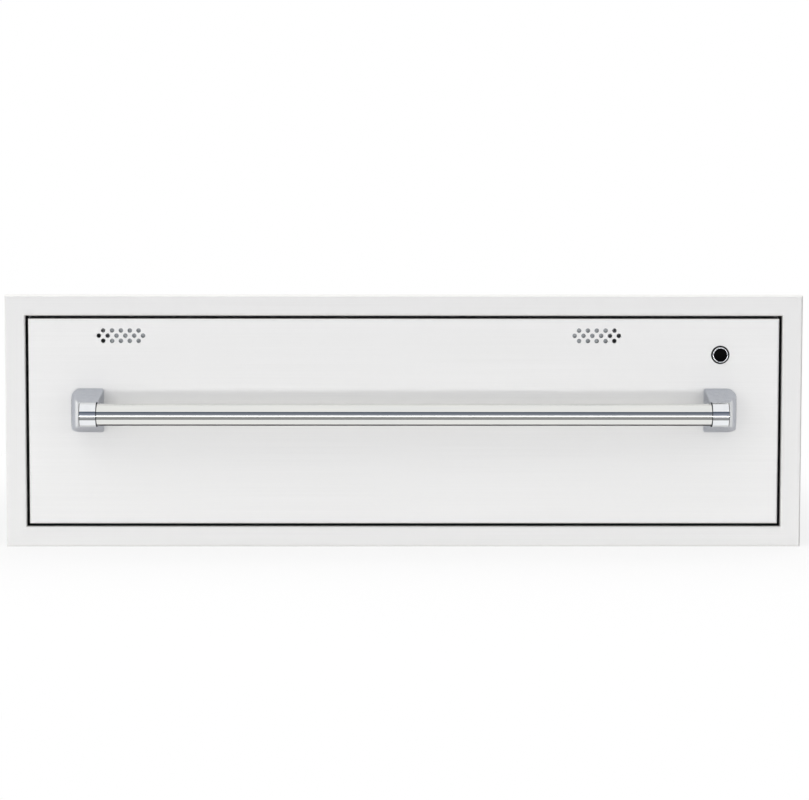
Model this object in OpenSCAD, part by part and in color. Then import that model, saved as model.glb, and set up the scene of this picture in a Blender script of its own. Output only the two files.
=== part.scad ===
// Built-in warming drawer: a heated, insulated housing with a trim frame, and a stainless bin on ball slides.
// Frame: X across, -Y towards the user, +Z up. The origin is the middle of the sill of the cut-out that the
// drawer is built into: the plane of the cabinet's face, at the underside of the housing.

/* [Face frame] */
// Width over the trim frame
face_w = 921; // [860:1:1000]
// Height over the trim frame
face_h = 292; // [280:1:330]
// Width of the frame's rails, seen from the front
frame_border = 23.5; // [20:0.5:28]
// How far the frame stands in front of the cabinet's face
frame_depth = 20; // [16:0.5:24]
// Width of the lip that lies on the cabinet's face
frame_lip = 9; // [6:0.5:14]
// Thickness of the outer sheet metal
sheet = 1.2; // [0.9:0.1:1.5]
// Inside radius of the outer sheet's bends
bend = 1; // [0.6:0.1:1.6]

/* [Housing] */
// Depth of the housing behind the cabinet's face
housing_depth = 560; // [552:1:640]
// How far the top of the housing steps down behind the frame's collar
top_step = 18; // [15:0.5:19]
// Thickness of the insulation at the sides and floor
wall_insulation = 20; // [14:1:22]
// Thickness of the insulation over the cavity
top_insulation_t = 12; // [8:1:13]
// Thickness of the insulation behind the cavity
rear_insulation_t = 25; // [18:1:28]
// Width of the shell's inward flanges under the top cover
shell_flange = 14; // [12:1:18]
// Depth of the rear panel's flanges
rear_flange = 14; // [12:1:18]
// Thickness of the cavity liner
liner_sheet = 1; // [0.8:0.1:1.4]
// Radius of the cavity's long edges
liner_radius = 6; // [4:0.5:9]
// Inside depth of the cavity behind the drawer seal
cavity_depth = 482; // [476:1:488]
// Height of the fixing holes above and below the middle
fixing_spread = 62.5; // [50:0.5:80]
// Distance of the fixing holes behind the cabinet's face
fixing_setback = 12; // [8:0.5:16]
// Diameter of the fixing holes
fixing_d = 5; // [4:0.1:6]

/* [Drawer front] */
// Gap between the drawer front and the frame
front_gap = 3.5; // [2.5:0.1:5]
// Depth of the hollow drawer front
front_depth = 38; // [36:0.5:42]
// Depth of the backing tray's flanges
backing_flange = 14; // [10:1:18]
// Thickness of the seal between the drawer front and the cavity
seal_t = 5; // [3:0.5:7]
// Width of the seal
seal_w = 9; // [6:0.5:10]
// Diameter of the vent holes
vent_d = 5.2; // [4:0.1:6]
// Distance between vent holes along a row
vent_pitch = 10.2; // [8.5:0.1:12]
// Distance between rows of vent holes
vent_row_pitch = 6; // [5.6:0.1:8]
// Vent holes in the short rows
vent_columns = 5; // [3:1:6]
// Depth of the middle row of vents below the drawer's top edge
vent_drop = 19.5; // [17:0.5:24]
// Middle of the left vent group
vent_left_x = -326.5; // [-345:0.5:-300]
// Middle of the right vent group
vent_right_x = 222.5; // [190:0.5:240]
// Gap between the front skin and the vent baffle
baffle_gap = 3; // [2:0.5:4]
// How far the baffle reaches outwards from the middle of each vent group
baffle_reach = 13.5; // [8:0.5:18]

/* [Handle] */
// Distance between the middles of the two posts
handle_span = 731; // [650:1:760]
// Depth of the handle below the drawer's top edge
handle_drop = 106; // [98:0.5:114]
// Distance from the drawer front to the bar's axis
handle_reach = 50; // [44:0.5:60]
// Diameter of the bar
bar_d = 25.4; // [22:0.1:26]
// Wall of the bar's tube
bar_wall = 2; // [1.5:0.1:3]
// Width of a post's foot
post_w = 37.6; // [34:0.2:42]
// Height of a post's foot
post_h = 51; // [46:0.5:56]
// Diameter of a post's round nose
nose_d = 28; // [27.6:0.1:30]
// Width of a post's nose along the bar
nose_w = 19.7; // [18:0.1:24]
// How far the inner side of a post leans in from foot to nose
post_draft = 4; // [1:0.1:5]
// Corner radius on the outer side of a post's foot
post_corner = 6.5; // [4:0.5:10]
// How far the outer side of a post's foot bows out between its corners
post_bow = 4; // [1:0.5:5]
// Depth of the socket for the bar
socket_depth = 13; // [10:0.5:15]

/* [Push button] */
// Middle of the button
button_x = 365.5; // [350:0.5:375]
// Depth of the button below the drawer's top edge
button_drop = 41.5; // [38:0.5:46]
// Diameter of the black cap
cap_d = 15; // [12:0.1:15.2]
// Diameter of the bright bezel
bezel_d = 17.8; // [17.4:0.1:19]
// Diameter of the rubber washer under the bezel
washer_d = 21.2; // [19.8:0.1:23]
// Diameter of the threaded barrel
barrel_d = 16.6; // [16.4:0.1:16.8]
// Length of the barrel behind the bezel
barrel_len = 26; // [22:0.5:28]
// Travel of the cap
button_travel = 2.5; // [1.5:0.1:3]

/* [Slides] */
// Length of the slides
slide_len = 450; // [440:1:456]
// Thickness of a slide, across the drawer
slide_w = 12.7; // [12.6:0.1:14]
// Height of a slide
slide_h = 45; // [44:0.5:50]
// Height of the slides above the housing's underside
slide_z = 136; // [125:1:150]
// Thickness of the rails' webs
rail_t = 1.3; // [1:0.1:1.5]
// Diameter of the balls between the cabinet rail and the middle rail
ball_d = 4; // [3.6:0.1:4.2]
// Diameter of the balls between the middle rail and the drawer rail
small_ball_d = 3.2; // [3:0.1:3.4]
// Running clearance round the balls
race_gap = 0.2; // [0.15:0.01:0.25]
// Thickness of the ball cages
cage_t = 0.4; // [0.3:0.05:0.4]
// Length of the ball cages
cage_len = 190; // [150:1:210]
// Distance between balls along a cage
ball_pitch = 22; // [14:1:30]

/* [Bin] */
// Thickness of the bin
bin_sheet = 1; // [0.8:0.1:1.4]
// Depth of the bin from front to back
bin_l = 468; // [456:1:470]
// Height of the bin
bin_h = 154; // [140:1:160]
// Height of the bin's floor above the housing's underside
bin_z = 58; // [56:1:62]
// Inside radius of the bin's bends
bin_bend = 5; // [3:0.5:8]
// Width of the bin's rim
bin_rim = 8; // [5:0.5:9]

/* [Heating] */
// Diameter of the heating element
element_d = 8; // [6.5:0.1:8.5]
// Height of the element above the cavity floor
element_lift = 20; // [18:0.5:22]
// Width of the element's outer loop
element_w = 660; // [560:1:720]
// Width of the element's inner loop
element_inner_w = 240; // [180:1:320]
// Bend radius of the element
element_bend = 30; // [22:1:36]
// Distance between the element's two ends
element_ends = 90; // [80:1:110]
// Height of the heat reflector's rim
reflector_h = 10; // [6:1:12]
// Diameter of the temperature probe
probe_d = 6; // [5:0.1:6.4]
// Straight length of the temperature probe in the cavity
probe_len = 120; // [80:1:160]

/* [Wiring] */
// Diameter of the cable that the gland takes
cable_d = 10; // [8:0.1:11]
// Middle of the cable gland
gland_x = 330; // [300:1:350]
// Height of the cable gland
gland_z = 60; // [50:1:70]

/* [Hidden] */
$fn = 64;
// Clearances that the fitted pieces share
fit = 0.1;
seat_gap = 0.3;
nest_gap = 0.3;

// Face frame and housing
outer_bend = bend + sheet;
opening_w = face_w - 2*frame_border;
opening_h = face_h - 2*frame_border;
housing_w = opening_w + 4*sheet;
housing_h = opening_h + 4*sheet;
mid_z = housing_h/2;
shell_in_w = housing_w - 2*sheet;
collar_top = housing_h - sheet;
cover_z = housing_h - top_step;
shell_top = cover_z - sheet;
shell_in_top = shell_top - sheet;

// Drawer front, with its face flush with the frame's
front_w = opening_w - 2*front_gap;
front_h = opening_h - 2*front_gap;
front_y = -frame_depth;
front_back = front_y + front_depth;
front_top = mid_z + front_h/2;
skin_in_y = front_y + sheet;
backing_w = front_w - 2*sheet - 2*nest_gap;
backing_h = front_h - 2*sheet - 2*nest_gap;
backing_in_y = front_back - sheet;
baffle_t = 1;
baffle_flange = 12;
vent_space = 14;
air_slot_l = 26;
air_slot_d = 4;
air_slot_pitch = 40;
air_slots = 6;

// Cavity
seal_y = front_back + seat_gap + seal_t;
cavity_w = shell_in_w - 2*wall_insulation - 2*liner_sheet;
cavity_z0 = sheet + wall_insulation + liner_sheet;
cavity_z1 = shell_top - top_insulation_t - liner_sheet;
cavity_h = cavity_z1 - cavity_z0;
cavity_mid_z = (cavity_z0 + cavity_z1)/2;
liner_w = cavity_w + 2*liner_sheet;
liner_h = cavity_h + 2*liner_sheet;
cavity_back = seal_y + cavity_depth;
liner_back = cavity_back + liner_sheet;
bay_y = liner_back + rear_insulation_t;
step_y = seal_y + liner_sheet + nest_gap;

// Bin
bin_w = cavity_w - 2*slide_w;
bin_top = bin_z + bin_h;

// Handle
handle_z = front_top - handle_drop;
bar_y = front_y - handle_reach;
nose_in = post_w/2 - post_draft;
nose_out = nose_in - nose_w;
post_reach = handle_reach + nose_d/2;
bar_len = handle_span - 2*(nose_in - socket_depth) - 2*fit;
handle_screw_d = 6;
foot_screw_d = 5;
foot_screw_spread = 15;
foot_screw_depth = 9;

// Push button
button_z = front_top - button_drop;
washer_t = 0.8;
bezel_t = 2.2;
bezel_y = front_y - washer_t;
cap_gap = 0.2;
cap_proud = 0.8;
cap_len = 6;
cap_bore = bezel_t + cap_len + button_travel;

// Slides, measured from the cavity wall (u) and from the slide's middle (v)
slide_y = seal_y + liner_sheet + 6;
slide_end = slide_y + slide_len;
slide_travel = slide_len;
cage_gap = 0.3;
web_gap = cage_t + 2*cage_gap;
middle_u = rail_t + web_gap;
drawer_u = middle_u + rail_t + web_gap;
lip_u = slide_w - 2.2;
ball_u = (drawer_u + lip_u)/2;
row_gap = cage_t + 2*cage_gap;
cabinet_lip = 2.7;
middle_lip = 3.6;
drawer_lip = 3;
cabinet_v = slide_h/2 - cabinet_lip;
middle_v = cabinet_v - row_gap;
inner_v = middle_v - middle_lip;
drawer_v = inner_v - row_gap;
ball_v = cabinet_v - row_gap/2;
small_ball_v = inner_v - row_gap/2;
balls_in_row = floor((cage_len - ball_d - 4)/ball_pitch) + 1;
cage_mid_y = slide_y + slide_len/2;
rail_screw_y = [slide_y + 45, cage_mid_y, slide_end - 45];
rail_screw_d = 3.5;
rail_head_d = 7;

// Heating
element_z = cavity_z0 + element_lift;
element_front_y = seal_y + 60;
element_rear_y = cavity_back - 62;
element_dip_y = element_rear_y - 100;
element_end_y = bay_y + 3;
element_route = [
    [-element_ends/2, element_end_y], [-element_ends/2, element_rear_y],
    [-element_w/2, element_rear_y], [-element_w/2, element_front_y],
    [-element_inner_w/2, element_front_y], [-element_inner_w/2, element_dip_y],
    [element_inner_w/2, element_dip_y], [element_inner_w/2, element_front_y],
    [element_w/2, element_front_y], [element_w/2, element_rear_y],
    [element_ends/2, element_rear_y], [element_ends/2, element_end_y]
];
reflector_t = 0.8;
reflector_w = element_w + 2*element_bend;
reflector_l = element_rear_y - element_front_y + 44;
bushing_d = element_d + 8;
bushing_flange_d = bushing_d + 8;
bushing_flange_t = 3;
bushing_front = 4;
bushing_rear = 8;
tab_w = 6.3;
tab_t = 0.8;
tab_l = 11;
tab_stem_l = 4;
tab_stem_d = element_d - 3;
support_t = 1.5;
support_w = 16;
support_foot = 14;
probe_x = 210;
probe_z = bin_top - 24;
probe_bend = 8;
cutout_x = -170;
cutout_z = cavity_mid_z;
cutout_d = 18;
cutout_h = 11;

// Wiring bay
rear_in_y = housing_depth - sheet;
gland_d = cable_d + 8;
gland_flange_d = gland_d + 8;
gland_flange_t = 6;
gland_nose = 12;
gland_inside = 11;
locknut_t = 5;
block_w = 66;
block_h = 24;
block_t = 15;
block_x = gland_x - 90;

// Screws
screw_d = 4;
screw_head_d = 8;
screw_head_t = 2.4;
screw_reach = 4*sheet;
cover_screw_inset = shell_flange/2 + 1;
bin_screw_d = 3.5;
bin_screw_len = 10;
bin_screw_low = 36;
bin_screw_high = 66;
bin_screw_side = 60;
bin_screw_z = [bin_z + bin_screw_low, bin_top - bin_screw_high];
bin_screw_x = [-bin_w/2 + bin_screw_side, 0, bin_w/2 - bin_screw_side];

// Control box behind the push button
box_sheet = 1;
box_w = 96;
box_h = 62;
box_depth = front_depth - 2*sheet - 2;
box_z = button_z - 2;

// A rectangle with four round corners, about its middle
module round_rect(w, h, r) {
    square([w - 2*r, h], center = true);
    square([w, h - 2*r], center = true);
    for (x = [-1, 1], y = [-1, 1])
        translate([x*(w/2 - r), y*(h/2 - r)]) circle(r);
}

// A slot with round ends along X, about its middle
module slot(length, d) {
    square([length - d, d], center = true);
    for (x = [-1, 1]) translate([x*(length - d)/2, 0]) circle(d = d);
}

// A rectangle that stands on the X axis, with its two lower corners round
module tray_outline(w, h, r) {
    translate([-w/2, r]) square([w, h - r]);
    translate([-w/2 + r, 0]) square([w - 2*r, h]);
    for (x = [-1, 1]) translate([x*(w/2 - r), r]) circle(r);
}

// A block on the XY plane whose four lower edges are round, as folded sheet leaves them
module folded_block(w, l, h, r) {
    intersection() {
        rotate([90, 0, 0]) linear_extrude(l, center = true) tray_outline(w, h, r);
        rotate([90, 0, 90]) linear_extrude(w, center = true) tray_outline(l, h, r);
    }
}

// A tray folded from sheet of thickness t with inside bends of radius r, open at the top
module folded_tray(w, l, h, t, r) {
    difference() {
        folded_block(w, l, h, r + t);
        translate([0, 0, t]) folded_block(w - 2*t, l - 2*t, h, r);
    }
}

// Turns what is modelled on the XY plane so that its floor faces the user
module facing_front() {
    rotate([-90, 0, 0]) children();
}

// Turns what is modelled on the XY plane so that its floor faces the back
module facing_back() {
    rotate([90, 0, 0]) children();
}

// A round bar or hole along Y from y0 to y1
module along_y(d, y0, y1) {
    translate([0, y0, 0]) rotate([-90, 0, 0]) cylinder(d = d, h = y1 - y0);
}

// A round bar or hole along X from x0 to x1
module along_x(d, x0, x1) {
    translate([x0, 0, 0]) rotate([0, 90, 0]) cylinder(d = d, h = x1 - x0);
}

// A quarter of a bend, in the quadrant that the signs give
module bend_arc(sx, sy) {
    intersection() {
        difference() {
            circle(outer_bend);
            circle(bend);
        }
        translate([min(sx, 0)*outer_bend, min(sy, 0)*outer_bend]) square(outer_bend);
    }
}

// A pan-head screw along Z: its head stands on the XY plane and its shank hangs below
module pan_screw(d, length, head_d, head_t) {
    rise = head_t*0.7;
    intersection() {
        cylinder(d = head_d, h = head_t);
        translate([0, 0, head_t - (pow(head_d, 2)/4 + pow(rise, 2))/(2*rise)])
            sphere(r = (pow(head_d, 2)/4 + pow(rise, 2))/(2*rise));
    }
    translate([0, 0, -length]) cylinder(d = d, h = length + head_t*0.2);
}

// Face frame: a lipped channel with mitred and welded corners
// The channel's section: u runs inwards from the outer edge, v backwards from the face
module frame_section() {
    inner = frame_border - sheet;
    translate([outer_bend, 0]) square([frame_border - 2*outer_bend, sheet]);
    translate([outer_bend, outer_bend]) bend_arc(-1, -1);
    translate([0, outer_bend]) square([sheet, frame_depth - 2*outer_bend]);
    translate([outer_bend, frame_depth - outer_bend]) bend_arc(-1, 1);
    translate([outer_bend, frame_depth - sheet]) square([frame_lip - outer_bend, sheet]);
    translate([frame_border - outer_bend, outer_bend]) bend_arc(1, -1);
    translate([inner, outer_bend]) square([sheet, frame_depth + seal_y - outer_bend]);
}

// One side of the frame along X, cut to 45 degree mitres, about the frame's middle
module frame_side(length, across) {
    cut = frame_border + 1;
    intersection() {
        translate([0, 0, -across/2]) rotate([0, -90, 0])
            linear_extrude(length, center = true) frame_section();
        translate([0, frame_depth + seal_y + 1, 0]) rotate([90, 0, 0])
            linear_extrude(frame_depth + seal_y + 2)
                polygon([[-length/2, -across/2], [length/2, -across/2],
                         [length/2 - cut, -across/2 + cut], [-length/2 + cut, -across/2 + cut]]);
    }
}

// The screw holes that fasten the housing in its cut-out, on both sides
module fixing_holes() {
    for (s = [-1, 1], v = [-1, 1])
        translate([s*housing_w/2, fixing_setback, mid_z + v*fixing_spread])
            along_x(fixing_d, -3*sheet, 3*sheet);
}

module face_frame() {
    color("gainsboro")
    difference() {
        translate([0, front_y, mid_z]) union() {
            for (turn = [0, 180]) rotate([0, turn, 0]) frame_side(face_w, face_h);
            for (turn = [90, 270]) rotate([0, turn, 0]) frame_side(face_h, face_w);
        }
        fixing_holes();
    }
}

// Places a child at every top cover screw
module at_cover_screws() {
    for (x = [-1, 1], y = [40, housing_depth/2 - 40, housing_depth/2 + 120])
        translate([x*(housing_w/2 - cover_screw_inset), y, cover_z]) children();
    for (x = [-0.36, 0, 0.36])
        translate([x*housing_w, housing_depth - cover_screw_inset, cover_z]) children();
}

// Places a child at every rear panel screw, with its head on the outside of the shell
module at_rear_screws() {
    for (s = [-1, 1], z = [-0.3, 0, 0.3])
        translate([s*housing_w/2, housing_depth - rear_flange/2, mid_z + z*housing_h])
            rotate([0, s*90, 0]) children();
}

// Housing shell: sides and floor folded from one sheet, with inward flanges for the top cover
// At the front the sides rise to the height of the frame's collar
module housing_shell() {
    slot_w = housing_w - 2*shell_flange;
    color("silver")
    difference() {
        union() {
            translate([0, housing_depth, shell_top/2]) rotate([90, 0, 0])
                linear_extrude(housing_depth - step_y) difference() {
                    round_rect(housing_w, shell_top, outer_bend);
                    round_rect(shell_in_w, shell_top - 2*sheet, bend);
                    translate([-slot_w/2, 0]) square([slot_w, shell_top]);
                }
            translate([0, step_y, 0]) rotate([90, 0, 0]) linear_extrude(step_y) difference() {
                tray_outline(housing_w, collar_top, outer_bend);
                translate([0, sheet]) tray_outline(shell_in_w, collar_top, bend);
            }
        }
        // Room for the square corners of the frame's collar
        translate([-shell_in_w/2, -1, sheet]) cube([shell_in_w, seal_y + 1, 2*bend]);
        fixing_holes();
        at_cover_screws() translate([0, 0, -3*sheet]) cylinder(d = screw_d + 2*fit, h = 3*sheet);
        at_rear_screws() translate([0, 0, -2*sheet]) cylinder(d = screw_d + 2*fit, h = 3*sheet);
    }
}

// The step of the top cover: a lip on the collar, a riser and the bends between them
module cover_step() {
    lip = step_y - bend;
    translate([0, collar_top]) square([lip, sheet]);
    translate([lip, housing_h - outer_bend]) bend_arc(1, 1);
    translate([step_y, cover_z + bend]) square([sheet, top_step - outer_bend - bend]);
    translate([step_y + outer_bend, cover_z + bend]) bend_arc(-1, -1);
}

// Top cover: it steps down behind the collar, and a row of slots lets the wiring bay breathe
module top_cover() {
    slot_pitch = 46;
    slot_count = 12;
    slot_y = (bay_y + housing_depth - rear_flange)/2;
    flat_y = step_y + outer_bend;
    color("silver")
    difference() {
        union() {
            rotate([90, 0, 90]) linear_extrude(shell_in_w - 2*nest_gap, center = true) cover_step();
            translate([-housing_w/2, flat_y, shell_top]) cube([housing_w, housing_depth - flat_y, sheet]);
        }
        at_cover_screws() translate([0, 0, -2*sheet]) cylinder(d = screw_d + 2*fit, h = 3*sheet);
        for (i = [0 : slot_count - 1])
            translate([(i - (slot_count - 1)/2)*slot_pitch, slot_y, shell_top - sheet])
                linear_extrude(3*sheet) slot(30, 4);
    }
}

// Rear panel: a tray whose flanges nest in the shell
module rear_panel() {
    w = shell_in_w - 2*nest_gap;
    h = shell_in_top - sheet - 2*nest_gap;
    louvre_pitch = 14;
    louvre_count = 6;
    color("silver")
    difference() {
        translate([0, housing_depth, sheet + nest_gap + h/2])
            facing_back() folded_tray(w, h, rear_flange, sheet, bend);
        at_rear_screws() translate([0, 0, -4*sheet]) cylinder(d = screw_d, h = 5*sheet);
        at_cover_screws() translate([0, 0, -4*sheet]) cylinder(d = screw_d, h = 5*sheet);
        translate([gland_x, 0, gland_z]) along_y(gland_d + 2*fit, rear_in_y - 1, housing_depth + 1);
        for (s = [-1, 1], i = [0 : louvre_count - 1])
            translate([s*housing_w/5, housing_depth + 1, mid_z + (i - (louvre_count - 1)/2)*louvre_pitch])
                rotate([90, 0, 0]) linear_extrude(sheet + 2) slot(90, 5);
    }
}

// Cavity liner: the inner box, with a flange that closes the insulation space at the front
module cavity_liner() {
    flange_h = collar_top - sheet - 2*nest_gap;
    color("lightgray")
    difference() {
        union() {
            translate([0, liner_back, cavity_mid_z]) rotate([90, 0, 0])
                linear_extrude(liner_back - seal_y) round_rect(liner_w, liner_h, liner_radius + liner_sheet);
            translate([0, seal_y + liner_sheet, sheet + nest_gap + flange_h/2]) rotate([90, 0, 0])
                linear_extrude(liner_sheet) round_rect(shell_in_w - 2*nest_gap, flange_h, bend + nest_gap);
        }
        translate([0, cavity_back, cavity_mid_z]) rotate([90, 0, 0])
            linear_extrude(cavity_depth + 1) round_rect(cavity_w, cavity_h, liner_radius);
        for (x = [-1, 1]) translate([x*element_ends/2, 0, element_z])
            along_y(bushing_d + 2*fit, cavity_back - 1, liner_back + 1);
        translate([probe_x, 0, probe_z]) along_y(probe_d + 4*fit, cavity_back - 1, liner_back + 1);
        for (s = [-1, 1], y = rail_screw_y) translate([s*(cavity_w + liner_sheet)/2, y, slide_z])
            along_x(rail_screw_d + 2*fit, -2*liner_sheet, 2*liner_sheet);
    }
}

// Insulation boards between the shell and the cavity liner
module side_insulation() {
    length = liner_back - seal_y - liner_sheet;
    z = sheet + bend + nest_gap;
    h = cover_z - screw_reach - 1 - z;
    color("khaki")
    difference() {
        translate([liner_w/2, seal_y + liner_sheet, z]) cube([wall_insulation, length, h]);
        for (y = rail_screw_y) translate([liner_w/2, y, slide_z]) along_x(rail_screw_d + 2, -1, 12);
    }
}

module left_insulation() {
    mirror([1, 0, 0]) side_insulation();
}

module right_insulation() {
    side_insulation();
}

// A board over or under the cavity, between the side boards
module flat_insulation(z, t) {
    color("khaki")
    translate([-liner_w/2, seal_y + liner_sheet, z])
        cube([liner_w, liner_back - seal_y - liner_sheet, t]);
}

module top_insulation() {
    flat_insulation(shell_top - top_insulation_t, top_insulation_t);
}

module floor_insulation() {
    flat_insulation(sheet, wall_insulation);
}

// Board behind the cavity, open round the element's ends, the probe and the thermal cut-out
module rear_insulation() {
    color("khaki")
    difference() {
        translate([-liner_w/2, liner_back, cavity_z0 - liner_sheet])
            cube([liner_w, rear_insulation_t, liner_h]);
        for (x = [-1, 1]) translate([x*element_ends/2, 0, element_z])
            along_y(bushing_flange_d + 4, liner_back - 1, bay_y + 1);
        translate([probe_x, 0, probe_z]) along_y(probe_d + 8, liner_back - 1, bay_y + 1);
        translate([cutout_x, 0, cutout_z]) along_y(2*cutout_d + 12, liner_back - 1, bay_y + 1);
    }
}

// Seal round the mouth of the cavity
module drawer_seal() {
    inset = 1.5;
    w = cavity_w + 2*inset;
    h = cavity_h + 2*inset;
    color("dimgray")
    translate([0, seal_y, cavity_mid_z]) rotate([90, 0, 0]) linear_extrude(seal_t)
        difference() {
            round_rect(w + 2*seal_w, h + 2*seal_w, liner_radius + seal_w);
            round_rect(w, h, liner_radius);
        }
}

// Heating
// Reflector tray on the cavity floor, under the element
module heat_reflector() {
    color("whitesmoke")
    translate([0, (element_front_y + element_rear_y)/2, cavity_z0])
        folded_tray(reflector_w, reflector_l, reflector_h, reflector_t, bend);
}

// A tube along level runs that turn square corners with one bend radius
module level_tube(route, d, r) {
    last = len(route) - 1;
    for (i = [0 : last - 1]) {
        step = route[i + 1] - route[i];
        way = step/norm(step);
        start = route[i] + way*(i == 0 ? 0 : r);
        stop = route[i + 1] - way*(i == last - 1 ? 0 : r);
        translate([start[0], start[1], 0]) rotate([0, 90, atan2(way[1], way[0])])
            cylinder(d = d, h = norm(stop - start));
    }
    for (i = [1 : last - 1]) {
        into = (route[i] - route[i - 1])/norm(route[i] - route[i - 1]);
        out = (route[i + 1] - route[i])/norm(route[i + 1] - route[i]);
        side = into[0]*out[1] - into[1]*out[0] > 0 ? 1 : -1;
        middle = route[i] - into*r + out*r;
        from = side > 0 ? -out : into;
        translate([middle[0], middle[1], 0]) rotate([0, 0, atan2(from[1], from[0])])
            rotate_extrude(angle = 90) translate([r, 0]) circle(d = d);
    }
}

module heating_element() {
    color("dimgray")
    translate([0, 0, element_z]) level_tube(element_route, element_d, element_bend);
}

// Places a child at every element support, with Y along the tube there
module at_supports() {
    side_y = (element_front_y + element_rear_y)/2;
    for (x = [-1, 1]) {
        translate([x*element_w/2, side_y, 0]) children();
        translate([x*element_inner_w/2, element_front_y + element_bend + 20, 0]) children();
        translate([x*(element_w/2 + element_ends/2)/2, element_rear_y, 0]) rotate([0, 0, 90]) children();
    }
}

// Sheet brackets that stand on the reflector and carry the element
module element_supports() {
    foot = cavity_z0 + reflector_t;
    top = element_z + element_d/2 + 4;
    color("silver")
    at_supports() difference() {
        union() {
            translate([-support_w/2, -support_t/2, foot]) cube([support_w, support_t, top - foot]);
            translate([-support_w/2, -support_t/2, foot]) cube([support_w, support_foot, support_t]);
        }
        translate([0, 0, element_z]) along_y(element_d + 2*fit, -support_t, support_t);
    }
}

// Ceramic bushes that lead the element through the back of the cavity
module element_bushings() {
    color("ivory")
    for (x = [-1, 1]) translate([x*element_ends/2, 0, element_z])
        difference() {
            union() {
                along_y(bushing_d, cavity_back - bushing_front, liner_back + bushing_rear);
                along_y(bushing_flange_d, liner_back, liner_back + bushing_flange_t);
            }
            along_y(element_d + 2*fit, cavity_back - bushing_front - 1, liner_back + bushing_rear + 1);
        }
}

// Tabs on the element's cold ends
module element_terminals() {
    color("goldenrod")
    for (x = [-1, 1]) translate([x*element_ends/2, element_end_y, element_z]) {
        along_y(tab_stem_d, 0, tab_stem_l);
        translate([-tab_w/2, tab_stem_l, -tab_t/2]) cube([tab_w, tab_l, tab_t]);
    }
}

// Temperature probe: a closed tube through the back of the cavity, bent along its wall
module temperature_probe() {
    y = cavity_back - probe_bend;
    color("lightslategray")
    translate([probe_x, 0, probe_z]) {
        level_tube([[0, bay_y + 6], [0, y], [-probe_len, y]], probe_d, probe_bend);
        translate([-probe_len, y, 0]) sphere(d = probe_d);
        along_y(probe_d + 6, liner_back, liner_back + 4);
    }
}

// Thermal cut-out: a disc switch clamped to the back of the cavity
module thermal_cutout() {
    plate_t = 1;
    color("darkslategray")
    translate([cutout_x, 0, cutout_z]) {
        translate([0, liner_back, 0]) facing_front() linear_extrude(plate_t) slot(2*cutout_d, cutout_d - 4);
        along_y(cutout_d, liner_back, liner_back + cutout_h);
        for (x = [-1, 1]) translate([x*4 - 0.4, liner_back + cutout_h, -3]) cube([0.8, 9, 6.3]);
    }
}

// Terminal block on the inside of the rear panel
module terminal_block() {
    poles = 3;
    pitch = block_w/poles;
    color("beige")
    translate([block_x, rear_in_y - block_t, gland_z])
    difference() {
        translate([-block_w/2, 0, -block_h/2]) cube([block_w, block_t, block_h]);
        for (i = [0 : poles - 1]) translate([(i - (poles - 1)/2)*pitch, 0, 0]) {
            for (s = [-1, 1]) translate([0, 0, s*block_h/4]) along_y(6, -1, 6);
            translate([0, block_t/2 + 2, -block_h/2 - 1]) cylinder(d = 4, h = 8);
            translate([0, block_t/2 + 2, block_h/2 - 7]) cylinder(d = 4, h = 8);
        }
        for (i = [1 : poles - 1]) translate([(i - poles/2)*pitch - 0.6, -1, -block_h/2 - 1])
            cube([1.2, 6, block_h + 2]);
    }
}

// Cable gland in the rear panel: a six-sided flange outside, a thread inside
module cable_gland() {
    color("darkgray")
    translate([gland_x, 0, gland_z])
    difference() {
        union() {
            translate([0, housing_depth, 0]) rotate([-90, 0, 0])
                cylinder(d = gland_flange_d, h = gland_flange_t, $fn = 6);
            along_y(gland_d, rear_in_y - gland_inside, housing_depth + gland_nose);
        }
        along_y(cable_d, rear_in_y - gland_inside - 1, housing_depth + gland_nose + 1);
    }
}

module gland_locknut() {
    color("darkgray")
    translate([gland_x, rear_in_y - locknut_t, gland_z])
    difference() {
        rotate([-90, 0, 0]) cylinder(d = gland_flange_d, h = locknut_t, $fn = 6);
        along_y(gland_d + 2*fit, -1, locknut_t + 1);
    }
}

// Slides
// Both lips of a rail's section, from u0 to u1, thickness t below v
module rail_lips(u0, u1, v, t) {
    for (s = [-1, 1]) translate([u0, s > 0 ? v - t : -v]) square([u1 - u0, t]);
}

// Grooves for the two rows of balls
module races(v, d) {
    for (s = [-1, 1]) translate([ball_u, s*v]) circle(d = d + 2*race_gap);
}

module cabinet_rail_section() {
    difference() {
        union() {
            translate([0, -slide_h/2]) square([rail_t, slide_h]);
            rail_lips(0, lip_u, slide_h/2, cabinet_lip);
        }
        races(ball_v, ball_d);
    }
}

module middle_rail_section() {
    difference() {
        union() {
            translate([middle_u, -middle_v]) square([rail_t, 2*middle_v]);
            rail_lips(middle_u, lip_u, middle_v, middle_lip);
        }
        races(ball_v, ball_d);
        races(small_ball_v, small_ball_d);
    }
}

module drawer_rail_section() {
    difference() {
        union() {
            translate([slide_w - rail_t, -drawer_v]) square([rail_t, 2*drawer_v]);
            rail_lips(drawer_u, slide_w, drawer_v, drawer_lip);
        }
        races(small_ball_v, small_ball_d);
    }
}

// A cage's section: a thin channel whose two strips run through the middle of the balls
module cage_section(u, v) {
    strip_end = ball_u + ball_d/2 + 0.5;
    translate([u, -v - cage_t/2]) square([cage_t, 2*v + cage_t]);
    for (s = [-1, 1]) translate([u, s*v - cage_t/2]) square([strip_end - u, cage_t]);
}

// Stands a section up on the right cavity wall and runs it back along Y, with u towards the bin
module run_right(y0, length) {
    translate([cavity_w/2, y0, slide_z]) rotate([90, 0, 180]) linear_extrude(length) children();
}

// Turns a child so that its Z points from the right cavity wall towards the bin, at y
module on_right_wall(y) {
    translate([cavity_w/2, y, slide_z]) rotate([0, -90, 0]) children();
}

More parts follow.
